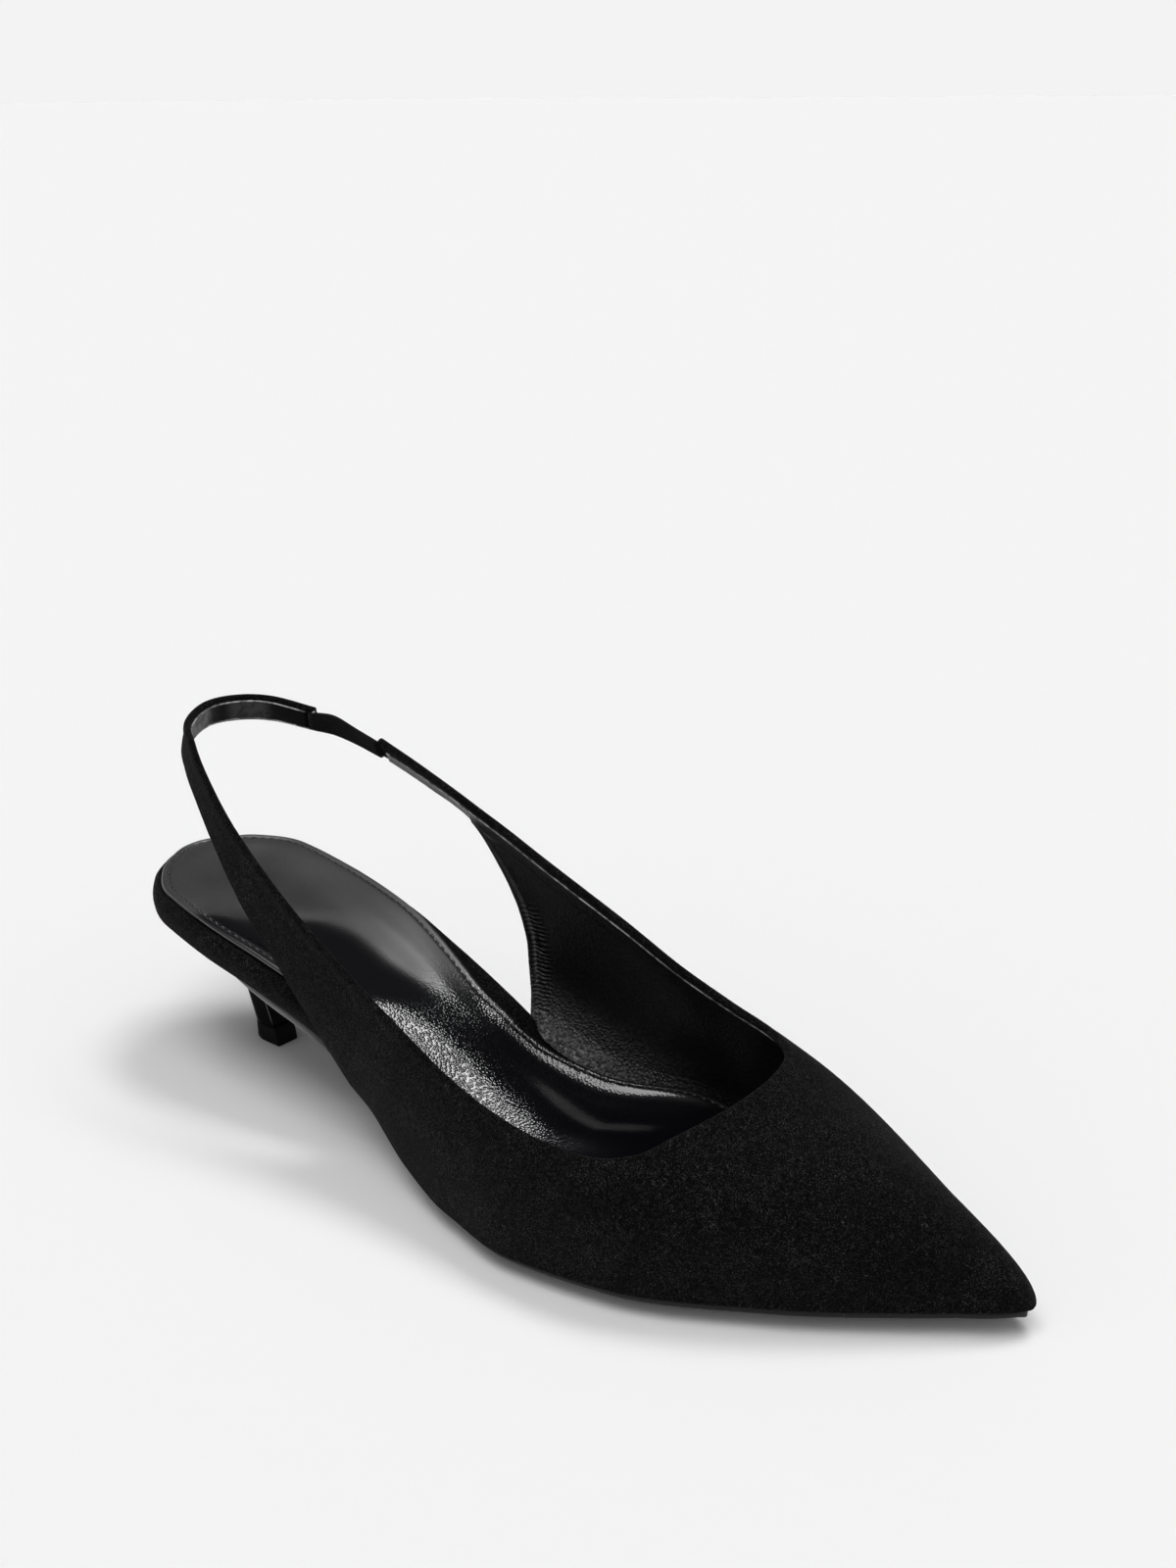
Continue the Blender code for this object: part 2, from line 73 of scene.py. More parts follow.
SOCK_ARCH_X = 106.0
SOCK_ARCH_REACH = 26.0
ARCH_EDGE = 2.2
ARCH_EDGE_X = 66.0
ARCH_EDGE_REACH = 20.0
FOREPART_SPREAD = 1.7
SPREAD_START = 110.0
SPREAD_FADE = 30.0
SPREAD_TOE_FADE = 36.0
HEEL_CORE = 24.0
TOE_CORE = 12.0
LEAST_HALF = 1.5
MOST_MOVE = 0.9
TINY = 1e-6
BOW_REACH = 1.3
BREAST_X = 43.0
SOLE_END = 0.993
ELASTIC_THICK = 1.2
ELASTIC_INSET = 0.08
HEEL_ROUND = 0.45
HEEL_BREAST_SHARE = 0.92
CAD_HEEL_STEPS = 9

# Points of the heel's plan beside its ridges: shares of the side's length and of the breast's half width
HEEL_RIDGE = np.array([0.16, 0.05, 0.0])
HEEL_FACE = np.array([0.97, 0.85, 0.5, 0.0, -0.5, -0.85, -0.97])

# Insole board, a row per section: station x, half width, rim height, rim depth, cup, underside sag
BOARD = np.array([
    (-3.5, 0.0, 50.6, 9.0, 0.0, 0.0),
    (0.0, 10.5, 50.5, 9.2, 0.6, 0.0),
    (6.0, 18.6, 50.2, 9.5, 1.2, 0.0),
    (20.0, 26.6, 48.8, 9.4, 2.4, 0.0),
    (40.0, 28.0, 45.6, 9.3, 2.8, 0.0),
    (60.0, 26.6, 41.2, 9.3, 2.6, 0.2),
    (80.0, 25.3, 34.8, 9.0, 2.4, 0.6),
    (100.0, 26.4, 24.8, 8.0, 2.2, 1.2),
    (120.0, 29.6, 13.8, 5.6, 2.0, 2.2),
    (140.0, 34.0, 8.2, 3.4, 1.8, 2.8),
    (160.0, 38.6, 7.4, 2.8, 1.6, 3.0),
    (185.0, 36.8, 7.6, 2.8, 1.4, 3.0),
    (215.0, 25.6, 8.0, 2.8, 1.0, 2.4),
    (240.0, 11.9, 8.4, 2.8, 0.4, 1.2),
    (249.0, 6.4, 8.8, 2.8, 0.0, 0.5),
    (255.6, 0.0, 9.0, 2.8, 0.0, 0.2),
])
HALF_WIDTH, RIM, RIM_DEPTH, CUP, SAG = range(1, 6)

# Side of the covered board from its lower edge to its rim: inset, share of the rim depth
BOARD_SIDE = np.array([
    (3.2, 0.0),
    (1.3, 0.14),
    (0.3, 0.38),
    (0.0, 0.64),
    (0.6, 0.88),
    (1.7, 1.0),
])

# Edge of the outsole against the upper's inner face: station x, margin
SOLE_MARGIN = np.array([
    (43.0, -5.5),
    (56.0, -3.4),
    (75.0, -2.2),
    (92.0, -0.9),
    (108.0, -0.3),
    (130.0, 0.2),
    (240.0, 0.2),
    (259.8, 0.0),
])

# Topline of the upper, a row per section: pace, x, y, z
TOPLINE = np.array([
    (0.0, 29.9, 22.7, 93.1),
    (1.0, 18.9, 16.5, 95.8),
    (2.0, 15.2, 8.0, 97.5),
    (3.0, 15.8, -2.2, 98.2),
    (4.0, 20.8, -11.6, 96.8),
    (5.0, 29.6, -17.2, 94.4),
    (6.0, 39.6, -21.4, 89.0),
    (7.0, 51.5, -23.6, 79.4),
    (8.0, 67.0, -25.1, 69.2),
    (9.0, 82.0, -26.2, 61.0),
    (10.0, 95.0, -26.8, 54.8),
    (11.0, 107.0, -27.4, 49.4),
    (12.0, 119.0, -28.0, 44.6),
    (13.0, 134.0, -29.0, 39.2),
    (14.0, 150.0, -29.8, 35.6),
    (15.0, 166.0, -29.6, 34.0),
    (16.0, 179.0, -27.2, 33.8),
    (17.0, 187.5, -22.0, 35.4),
    (18.0, 192.0, -14.0, 38.2),
    (19.0, 195.3, -3.6, 40.2),
    (20.0, 196.4, 6.8, 41.4),
    (21.0, 195.2, 16.4, 41.8),
    (22.0, 191.8, 24.4, 42.4),
    (23.0, 184.5, 27.4, 44.2),
    (24.0, 172.0, 28.0, 47.0),
    (25.0, 156.0, 27.4, 52.2),
    (26.0, 141.0, 25.6, 59.6),
    (27.0, 127.0, 23.2, 66.6),
    (28.0, 115.0, 21.0, 72.6),
    (29.0, 106.0, 19.6, 77.0),
    (30.0, 98.5, 18.4, 80.4),
    (31.0, 90.0, 17.6, 83.8),
    (32.0, 76.0, 17.2, 88.4),
    (33.0, 61.0, 18.2, 91.8),
])

# Lower edge of the sling strap and of the lateral quarter's back edge: pace, x, y, z
STRAP_LOW = np.array([
    (0.0, 29.4, 24.0, 85.7),
    (1.0, 17.7, 17.5, 88.0),
    (2.0, 14.2, 8.5, 89.8),
    (3.0, 14.8, -2.4, 90.6),
    (4.0, 20.0, -12.8, 88.8),
    (5.0, 28.2, -18.3, 85.2),
    (6.0, 36.0, -21.6, 80.2),
    (7.0, 46.2, -24.4, 70.6),
    (8.0, 58.6, -26.6, 58.7),
    (9.0, 70.6, -27.3, 48.6),
    (10.0, 80.8, -27.3, 39.6),
])

# Back edge of the medial quarter and lower edge of its strap stub: pace, x, y, z
STUB_LOW = np.array([
    (28.0, 105.7, 29.2, 32.0),
    (29.0, 105.7, 27.6, 47.0),
    (30.0, 101.5, 25.6, 61.5),
    (31.0, 92.5, 23.6, 75.0),
    (32.0, 76.0, 22.4, 81.6),
    (33.0, 58.5, 22.2, 86.0),
])

# Feather line of the vamp and quarters: pace, station x, side (-1 lateral, 1 medial)
FEATHER = np.array([
    (11.0, 95.0, -1.0),
    (12.0, 104.0, -1.0),
    (13.0, 122.0, -1.0),
    (14.0, 143.0, -1.0),
    (15.0, 165.0, -1.0),
    (16.0, 188.0, -1.0),
    (17.0, 211.0, -1.0),
    (18.0, 233.0, -1.0),
    (19.0, 249.5, -1.0),
    (20.0, 259.8, 1.0),
    (21.0, 248.5, 1.0),
    (22.0, 231.0, 1.0),
    (23.0, 208.0, 1.0),
    (24.0, 184.0, 1.0),
    (25.0, 160.0, 1.0),
    (26.0, 138.0, 1.0),
    (27.0, 118.0, 1.0),
    (27.5, 105.8, 1.0),
])

# Shape of the wall: pace, inward heading, lean at the lower edge, lean at the topline, rise, run, slide
WALL_SHAPE = np.array([
    (0.0, -50.0, 8.0, 8.0, 3.0, 3.0, 0.0),
    (2.0, -15.0, 4.0, 4.0, 3.0, 3.0, 0.0),
    (3.5, 20.0, 6.0, 6.0, 3.0, 3.0, 0.0),
    (6.0, 66.0, 10.0, 10.0, 4.0, 4.0, 0.0),
    (9.0, 88.0, 4.0, 6.0, 5.0, 6.0, 0.0),
    (11.0, 90.0, -30.0, 8.0, 9.0, 8.0, 0.0),
    (12.0, 90.0, -26.0, 12.0, 12.0, 9.0, 0.0),
    (13.0, 90.0, -12.0, 20.0, 13.0, 9.0, 0.0),
    (15.0, 92.0, -4.0, 32.0, 14.0, 10.0, 0.0),
    (17.0, 106.0, 0.0, 55.0, 14.0, 14.0, 0.0),
    (18.0, 126.0, 2.0, 66.0, 13.0, 19.0, 0.0),
    (19.0, 155.0, 4.0, 73.0, 12.0, 24.0, 0.0),
    (20.0, 185.0, 6.0, 75.0, 11.0, 26.0, 0.0),
    (21.0, 214.0, 8.0, 73.0, 10.5, 23.0, 0.0),
    (22.0, 238.0, 8.0, 66.0, 11.5, 18.0, 0.0),
    (23.0, 256.0, 0.0, 56.0, 14.0, 14.0, 0.0),
    (25.0, 268.0, -4.0, 42.0, 18.0, 14.0, 0.0),
    (27.0, 270.0, -4.0, 36.0, 18.0, 14.0, 0.5),
    (29.0, 270.0, 4.0, 40.0, 10.0, 10.0, 0.5),
    (31.0, 272.0, 30.0, 46.0, 3.5, 3.5, 0.33),
    (33.0, 276.0, 36.0, 36.0, 2.5, 2.5, 0.33),
])

# Elastic: share of its length, lower edge x, y, z, upper edge x, y, z
ELASTIC = np.array([
    (0.0, 29.8, 23.9, 86.0, 30.3, 22.7, 92.8),
    (0.35, 37.5, 24.4, 86.2, 38.5, 22.9, 93.6),
    (0.7, 48.0, 23.6, 86.2, 49.4, 21.2, 92.6),
    (1.0, 57.9, 22.0, 86.0, 60.4, 18.2, 92.6),
])

# Heel stem, a row per section: height, rear x, breast x, half width
HEEL = np.array([
    (5.8, 25.6, 35.6, 3.8),
    (10.0, 24.7, 34.4, 4.2),
    (14.4, 23.7, 33.5, 4.7),
    (19.0, 22.2, 33.4, 5.3),
    (24.0, 20.2, 34.8, 6.2),
    (29.5, 16.4, 38.0, 8.2),
    (36.0, 10.5, 42.4, 11.5),
])

# Top piece under the stem: height, rear x, breast x, half width
TOP_PIECE = np.array([
    (0.0, 25.6, 36.9, 3.5),
    (0.5, 25.4, 37.0, 3.7),
    (5.5, 25.6, 35.7, 3.8),
])

# Rounded edges of the top piece: height, growth of its plan
TIP_ROUNDING = (
    (0.0, -0.35),
    (0.12, -0.1),
    (0.5, 0.0),
    (3.0, 0.0),
    (5.2, 0.0),
    (5.42, -0.1),
    (5.5, -0.3),
)

# Fineness of the visible pieces
UPPER_SECTIONS = 529
WALL_ROWS = 65
SUEDE_ROWS = 34
LINING_ROWS = 56
EDGE_CROWDING = 0.75
ROUND_STEPS = 5
EDGE_SIDES = 8
BOARD_SECTIONS = 150
BOARD_ACROSS = 15
BOARD_SIDE_ROWS = 22
SOCK_ACROSS = 41
SOLE_SECTIONS = 190
SOLE_ACROSS = 33
ELASTIC_SECTIONS = 80
ELASTIC_ACROSS = 33
HEEL_STEPS = 41
HEEL_LEVELS = 40

# How far a highlight is painted pale on the sole's edge: station x, share
EDGE_HIGHLIGHT = np.array([
    (43.0, 0.5),
    (62.0, 0.55),
    (82.0, 0.2),
    (104.0, 0.16),
    (135.0, 0.05),
    (190.0, 0.03),
    (228.0, 0.0),
    (259.8, 0.0),
])

# Highlight painted pale on the heel's lateral ridge: heights where it fades in and out
RIDGE_HIGHLIGHT_LOW = (6.4, 9.0)
RIDGE_HIGHLIGHT_HIGH = (15.5, 17.5)

# Elastic: how far it is tucked in at both ends, its ribs and the rounding of its sides
ELASTIC_TUCK = 2.0
RIBS = 8
RIB_HIGH = 0.2
RIB_EDGE_POWER = 8

# Lining of the upper: margin of suede left along the topline and the lower edge, thickness, sink
LINING_THICK = 0.35
LINING_SINK = 0.15
LINING_MARGIN = np.array([
    (0.0, 1.6, 0.8),
    (5.0, 1.8, 0.8),
    (8.0, 2.4, 0.8),
    (11.0, 2.6, 0.6),
    (20.0, 2.6, 0.6),
    (28.0, 2.7, 0.4),
    (30.5, 2.6, 0.5),
    (31.5, 2.9, 0.6),
    (33.0, 3.0, 0.8),
])
LINING_UNDER_RIM = 1.0
LINING_EDGE = 0.22
LINING_TRIM = 3

# Bend of the lining's foot into the board: pace, how far in
LINING_BEND = np.array([
    (0.0, 1.0),
    (24.5, 1.4),
    (25.5, 2.0),
    (26.2, 3.2),
    (27.0, 5.2),
    (27.3, 5.2),
    (27.55, 2.4),
    (27.75, 0.4),
    (28.0, 0.0),
    (33.0, 0.0),
])
BEND_UP = 5.6
BEND_POWER = 1.35

# Cut edges of the lining: first pace, last pace, lower (0) or upper (1) edge
BEADS = (
    (0.15, 32.85, 1),
    (0.15, 10.95, 0),
    (27.9, 32.85, 0),
)
EDGE_RADIUS = 0.24
BEAD_IN = 0.22
STRAP_END_RADIUS = 0.5
STRAP_END_ROWS = (34, 60)

# Line below the topline on the medial quarter: distance, height, half width, fade at both ends
SECOND_LINE_DROP = 6.2
SECOND_LINE_HIGH = 0.35
SECOND_LINE_HALF = 0.7
SECOND_LINE_START = (25.5, 27.0)
SECOND_LINE_END = (30.4, 31.0)

# Medial quarter's back edge: its span in paces, bead, seam, gathers (pitch in metres) and the bead's
# highlight, painted as a pale line
BACK_EDGE = (27.55, 31.0)
EDGE_SPOTS = 160
BACK_BEAD_HIGH = 0.5
BACK_BEAD_AT = 1.0
BACK_BEAD_HALF = 0.9
BACK_SEAM_DEEP = 0.4
BACK_SEAM_AT = 2.4
BACK_SEAM_HALF = 0.6
GATHER_AT = 4.0
GATHER_HALF = 1.9
GATHER_LOW = (20.0, 27.0)
GATHER_HIGH = (48.0, 58.0)
GATHER_PITCH = 0.0013
GATHER_WANDER = 9.0
HIGHLIGHT_LINE_AT = 2.0
HIGHLIGHT_LINE_HALF = 0.3
HIGHLIGHT_LINE_HIGH = (34.0, 66.0)

# Foot of the lining, pale from rubbing and from a highlight painted for the glints of its pebble: middle
# and half height over the rim, fade at the back and the front
RUB_GLINT_UP = 4.0
RUB_GLINT_HALF = 9.0
RUB_GLINT_BACK = (96.0, 106.0)
RUB_GLINT_FRONT = (118.0, 160.0)

# Stretches of the strap's lining where a highlight is painted pale: pace, share
STRAP_HIGHLIGHT = np.array([
    (0.0, 0.0),
    (0.9, 0.04),
    (1.3, 0.3),
    (2.1, 0.26),
    (2.5, 0.02),
    (2.8, 0.1),
    (3.2, 0.9),
    (4.0, 0.8),
    (4.4, 0.1),
    (5.0, 0.0),
    (33.0, 0.0),
])

# Folded edge of the suede: rounding, swell along the topline and the line drawn in below it
SUEDE_EDGE = 0.8
MOST_EDGE = 0.3
FOLD_HIGH = 0.16
FOLD_AT = 1.3
FOLD_HALF = 1.0
FOLD_DRAWN = 0.08
FOLD_DRAWN_AT = 3.4

# Padded sock, from its edge inwards: inset, lift, lift where the medial edge is turned up at the arch
SOCK_PROFILE = np.array([
    (0.0, 0.0, 0.0),
    (-0.1, 0.5, 1.0),
    (0.0, 1.0, 2.0),
    (0.25, 1.45, 2.9),
    (0.65, 1.74, 3.45),
    (1.1, 1.82, 3.55),
    (1.6, 1.72, 3.46),
    (2.0, 1.36, 3.12),
    (2.4, 1.74, 3.42),
    (2.8, 1.92, 3.36),
    (3.3, 2.02, 3.1),
    (4.0, 2.12, 2.7),
    (5.0, 2.22, 2.4),
    (6.2, 2.3, 2.3),
])
SOCK_GROOVE = 7
SOCK_LIP_BACK = (92.0, 108.0)
SOCK_LIP_FRONT = (150.0, 166.0)
SOCK_FOREPART = 2.4
SOCK_FOREPART_X = 144.0
SOCK_FOREPART_FADE = 12.0
STITCH_PITCH = 2.6
STITCH_LONG = 1.75
STITCH_RADIUS = 0.34
STITCH_RISE = 0.42
STITCH_SINK = 0.14
STITCH_END = 0.55
STITCH_STEPS = 7
STITCH_SIDES = 6

# Swells and troughs of the sock: height, lateral and medial reach, fade at back and front, line in plan
SOCK_RELIEF = (
    (2.0, 8.2, 16.0, 14.0, 22.0, (
        (84.0, -6.0), (90.0, -4.0), (95.0, 0.0), (100.0, 1.2),
        (110.0, 2.6), (130.0, 3.0), (150.0, 8.0),
    )),
    (0.42, 3.2, 4.0, 30.0, 16.0, (
        (50.0, 15.0), (70.0, 13.8), (90.0, 13.4), (107.0, 14.2),
        (122.0, 14.4), (132.0, 16.4), (146.0, 19.0),
    )),
    (-0.6, 4.0, 3.0, 16.0, 14.0, (
        (88.0, 17.0), (103.0, 15.4), (114.0, 17.4), (121.0, 19.8),
        (132.0, 22.8), (139.0, 26.4), (146.0, 31.0),
    )),
    (-0.45, 6.0, 4.6, 16.0, 16.0, (
        (34.0, -16.0), (44.0, -9.0), (54.0, 2.0), (66.0, 6.0), (80.0, 6.4), (92.0, 7.0),
    )),
)
RELIEF_EDGE = (1.8, 5.4)

# Dusted grey heel of the sock and a highlight painted grey along its ridge, medial of a line in plan: its
# soft border, where it gets thin and where it ends
DUST_HIGHLIGHT_LINE = np.array([
    (20.0, -40.0),
    (36.0, -20.0),
    (46.0, -8.0),
    (54.0, 3.0),
    (66.0, 7.0),
    (80.0, 7.4),
    (96.0, 9.0),
])
DUST_HIGHLIGHT_SOFT = (-7.0, 5.0)
DUST_HIGHLIGHT_THINS = (30.0, 52.0)
DUST_HIGHLIGHT_THIN = 0.58
DUST_HIGHLIGHT_END = (78.0, 104.0)

# Grain of the sock: where it begins, where it turns finer and by how much
GRAINED = (74.0, 100.0)
FINER = (126.0, 150.0)
FINER_SHARE = 0.75

# Dull band on the sock, where a highlight is painted grey: its line in plan, half width, fade at the back
# and the front
HIGHLIGHT_STREAK = np.array([
    (118.0, 12.4),
    (131.6, 12.1),
    (143.5, 11.9),
    (149.8, 17.5),
    (155.9, 23.6),
])
HIGHLIGHT_STREAK_HALF = 1.7
HIGHLIGHT_STREAK_BACK = (118.0, 134.0)
HIGHLIGHT_STREAK_FRONT = (150.0, 157.0)

# Floor and camera: floor and clip in metres, angles in degrees, bearings from ahead to the medial side
FLOOR_REACH = 40.0
FLOOR_ALBEDO = 0.9
CAMERA_BEARING = -47.85
CAMERA_RISE = 20.71
CAMERA_ROLL = -0.5
CAMERA_AWAY = 414.59
CAMERA_TARGET = (153.3, 0.0, 107.76)
FOCAL_PIXELS = 1880.14
IMAGE_HIGH = 1600.0
SENSOR = 36.0
CLIP_START = 0.01
CLIP_FLOORS = 4.0

# Brightness of the studio by height: sine of the elevation, brightness on the far side, on the near side
STUDIO = (
    (0.0, 0.896, 0.896),
    (0.1, 0.896, 0.896),
    (0.24, 0.16, 0.5),
    (0.45, 0.05, 0.45),
    (0.8, 0.05, 0.4),
    (1.0, 0.5, 0.5),
)
SIDE_SOFT = 0.3

# Soft boxes: bearing, elevation, half width, half height, brightness
SOFT_BOXES = (
    (84.0, 69.0, 13.0, 6.5, 10.8),
    (-80.0, 73.0, 20.0, 15.0, 3.42),
)
BOX_SOFT = 0.05
BOX_FRONT = 0.2

# Sockets of Blender's Mix node that carry colours
MIX_FIRST = 6
MIX_SECOND = 7
MIX_RESULT = 2


def slopes(keys, values):
    """Slopes of a smooth curve that never overshoots its rows."""
    step = np.diff(keys)
    rate = np.diff(values) / step
    found = np.zeros(len(keys))
    found[0] = rate[0]
    found[-1] = rate[-1]
    for i in range(1, len(keys) - 1):
        if rate[i - 1] * rate[i] > 0.0:
            first = 2.0 * step[i] + step[i - 1]
            second = step[i] + 2.0 * step[i - 1]
            found[i] = (first + second) / (first / rate[i - 1] + second / rate[i])
    return found


def along(keys, values, at, slope=None):
    """Cubic curve through the rows (keys, values), read at the places given."""
    slope = slopes(keys, values) if slope is None else slope
    at = np.clip(np.asarray(at, float), keys[0], keys[-1])
    i = np.clip(np.searchsorted(keys, at, side="right") - 1, 0, len(keys) - 2)
    step = keys[i + 1] - keys[i]
    t = (at - keys[i]) / step
    start = (1 + 2 * t) * (1 - t) ** 2 * values[i] + t * (1 - t) ** 2 * step * slope[i]
    end = t * t * (3 - 2 * t) * values[i + 1] + t * t * (t - 1) * step * slope[i + 1]
    return start + end


def flowing(keys, values, at):
    """Like along, but free to bend through its rows, for lines in space."""
    return along(keys, values, at, np.gradient(values, keys))


def smooth(value, start, end):
    """Soft step from 0 at start to 1 at end."""
    t = np.clip((value - start) / (end - start), 0.0, 1.0)
    return t * t * (3.0 - 2.0 * t)


def between(value, start, end):
    """Soft step up over the span start and down again over the span end."""
    return smooth(value, *start) * (1.0 - smooth(value, *end))


def bell(value, centre, half):
    """Soft hump, 1 at its centre."""
    return np.exp(-(((value - centre) / half) ** 2))


def curve(table, at, column=1):
    """Cubic curve through a column of a table, read against the table's first column."""
    return along(table[:, 0], table[:, column], at)


def line_through(table, at, first=1):
    """Line in space through three columns of a table, read against the table's first column."""
    return np.stack([flowing(table[:, 0], table[:, i], at) for i in range(first, first + 3)], -1)


def aimed(bearing, elevation):
    """Direction at a bearing and an elevation."""
    bearing, elevation = math.radians(bearing), math.radians(elevation)
    level = math.cos(elevation)
    return np.array([math.cos(bearing) * level, math.sin(bearing) * level, math.sin(elevation)])


def grey(level):
    return (level, level, level)


def turn(x, tip):
    """Place along the length as 0 at the back to 1 at the tip, stretched so that round ends stay round."""
    share = np.clip((np.asarray(x, float) - REAR_X) / (tip - REAR_X), 0.0, 1.0)
    return np.arccos(1.0 - 2.0 * share) / math.pi


def station(place, tip):
    return REAR_X + (tip - REAR_X) * (1.0 - np.cos(math.pi * np.asarray(place, float))) / 2.0


def board(x, column):
    return along(turn(BOARD[:, 0], BOARD_TIP_X), BOARD[:, column], turn(x, BOARD_TIP_X))


def middle(x):
    """Centre line in plan: straight through the heel and waist, swinging inwards to the toe."""
    x = np.asarray(x, float)
    share = np.clip(x - SWING_START, 0.0, None) / (UPPER_TIP_X - SWING_START)
    return SWING * share ** 2 + WAIST_SHIFT * bell(x, WAIST_X, WAIST_REACH)


def board_half(x):
    return board(x, HALF_WIDTH)


def upper_half(x):
    """Half width of the upper's inner face along the feather line, tucked under a little at the waist."""
    x = np.asarray(x, float)
    nose_x = BOARD_TIP_X - NOSE
    inside = board_half(np.minimum(x, nose_x))
    tuck = WAIST_TUCK * np.clip((TUCK_END - x) / TUCK_FADE, 0.0, 1.0)
    nose = np.clip((UPPER_TIP_X - x) / (UPPER_TIP_X - nose_x), 0.0, 1.0)
    return (inside + GAP + WALL - tuck) * nose ** NOSE_POWER


def across_board(x, y):
    """Place across the board, -1 at its lateral edge and 1 at its medial edge."""
    return (y - middle(x)) / np.maximum(board_half(x), LEAST_HALF)


def board_under(x, y):
    """Underside of the board: bowed downwards across the foot, and flat where it would pass the floor."""
    edge = board(x, RIM) - board(x, RIM_DEPTH)
    bow = board(x, SAG) * (1.0 - np.minimum(across_board(x, y) ** 2, BOW_REACH))
    return np.maximum(edge - bow, GAP + SOLE_THICK)


def seat(x, y):
    """Cupped top face of the board inside its rim."""
    half = np.maximum(board_half(x) - BOARD_SIDE[-1, 0], LEAST_HALF)
    across = np.clip((y - middle(x)) / half, -1.0, 1.0)
    return board(x, RIM) - board(x, CUP) * (1.0 - across ** 2)


def outline(count, inset, arch=0.0, spread=0.0, forepart=0.0):
    """Loop of plan points round the board, moved inwards, with more on the medial side at the arch.

    The spread widens the part that lies inside the closed upper, and forepart the sock there.
    The loop runs up the medial side from back to toe, then down the lateral side.
    """
    place = np.arange(count + 1) / count
    x = station(place, BOARD_TIP_X)
    half = board_half(x)
    opened = np.clip((x - SPREAD_START) / SPREAD_FADE, 0.0, 1.0)
    closing = np.clip((BOARD_TIP_X - x) / SPREAD_TOE_FADE, 0.0, 1.0)
    covered = smooth(x, SOCK_FOREPART_X - SOCK_FOREPART_FADE, SOCK_FOREPART_X + SOCK_FOREPART_FADE)
    sides = []
    for side in (1.0, -1.0):
        arch_edge = ARCH_EDGE * bell(x, ARCH_EDGE_X, ARCH_EDGE_REACH) * (side > 0.0)
        edge = np.stack([x, middle(x) + side * half + arch_edge], 1)
        core_x = np.clip(x, REAR_X + HEEL_CORE, BOARD_TIP_X - TOE_CORE)
        core = np.stack([core_x, middle(core_x)], 1)
        away = core - edge
        reach = np.linalg.norm(away, axis=1, keepdims=True)
        bend = bell(x, SOCK_ARCH_X, SOCK_ARCH_REACH) * (side > 0.0)
        widened = spread * opened + forepart * covered
        move = (inset + arch * bend * (1.0 - covered * (forepart > 0.0)) - widened * closing)[:, None]
        sides.append(edge + away * np.minimum(move / np.maximum(reach, TINY), MOST_MOVE))
    return np.concatenate([sides[0], sides[1][-2:0:-1]])


def bands(rings):
    """Faces between rings of equal count that follow one another."""
    count = len(rings[0])
    faces = []
    for level in range(len(rings) - 1):
        low = level * count
        high = low + count
        for i in range(count):
            j = (i + 1) % count
            faces.append((low + i, low + j, high + j, high + i))
    return faces


def pad(rings, under, over, count, crossings):
    """Solid from stacked loops of points, closed below and above by strips run across it."""
    loop = len(rings[0])
    points = list(rings)
    faces = [(first, fourth, third, second) for first, second, third, fourth in bands(rings)]
    for ring_index, height, flip in ((0, under, False), (len(rings) - 1, over, True)):
        ring = points[ring_index]
        base = ring_index * loop
        start = sum(len(block) for block in points)
        share = np.arange(1, crossings + 1) / (crossings + 1)
        medial = ring[1:count]
        lateral = ring[:count:-1]
        plan = medial[:, None, :2] + (lateral[:, None, :2] - medial[:, None, :2]) * share[None, :, None]
        plan = plan.reshape(-1, 2)
        points.append(np.column_stack([plan, height(plan[:, 0], plan[:, 1])]))
        lines = [[base]]
        for i in range(1, count):
            inner = [start + (i - 1) * crossings + k for k in range(crossings)]
            lines.append([base + i] + inner + [base + loop - i])
        lines.append([base + count])
        for first, second in zip(lines[:-1], lines[1:]):
            long_line = max(len(first), len(second))
            for k in range(long_line - 1):
                if len(first) == 1:
                    face = (first[0], second[k], second[k + 1])
                elif len(second) == 1:
                    face = (first[k], second[0], first[k + 1])
                else:
                    face = (first[k], second[k], second[k + 1], first[k + 1])
                faces.append(face[::-1] if flip else face)
    return np.concatenate(points), faces


def stack(rings):
    """Solid through rings of equal count, closed at both ends."""
    count = len(rings[0])
    faces = bands(rings)
    faces.append(tuple(range(count))[::-1])
    faces.append(tuple(range((len(rings) - 1) * count, len(rings) * count)))
    return np.concatenate(rings), faces


def lath(rings):
    """Solid through flat rings that run up one side and down the other, closed at both ends by strips."""
    count = len(rings[0])
    far = count // 2
    strip = [(0, 1, count - 1)]
    strip += [(k, k + 1, count - k - 1, count - k) for k in range(1, far - 1)]
    strip.append((far - 1, far, far + 1))
    faces = bands(rings)
    faces += [face[::-1] for face in strip]
    last = (len(rings) - 1) * count
    faces += [tuple(last + k for k in face) for face in strip]
    return np.concatenate(rings), faces


def tube(path, across, radius, sides):
    """Closed cord along a path, with across a direction off the path at each point."""
    ahead = np.gradient(path, axis=0)
    ahead /= np.linalg.norm(ahead, axis=1, keepdims=True)
    second = np.cross(ahead, across)
    second /= np.linalg.norm(second, axis=1, keepdims=True)
    first = np.cross(second, ahead)
    radius = np.broadcast_to(np.asarray(radius, float), (len(path),))
    angle = np.arange(sides) * 2.0 * math.pi / sides
    rings = []
    for i in range(len(path)):
        round_it = np.cos(angle)[:, None] * first[i] + np.sin(angle)[:, None] * second[i]
        rings.append(path[i] + radius[i] * round_it)
    return stack(rings)


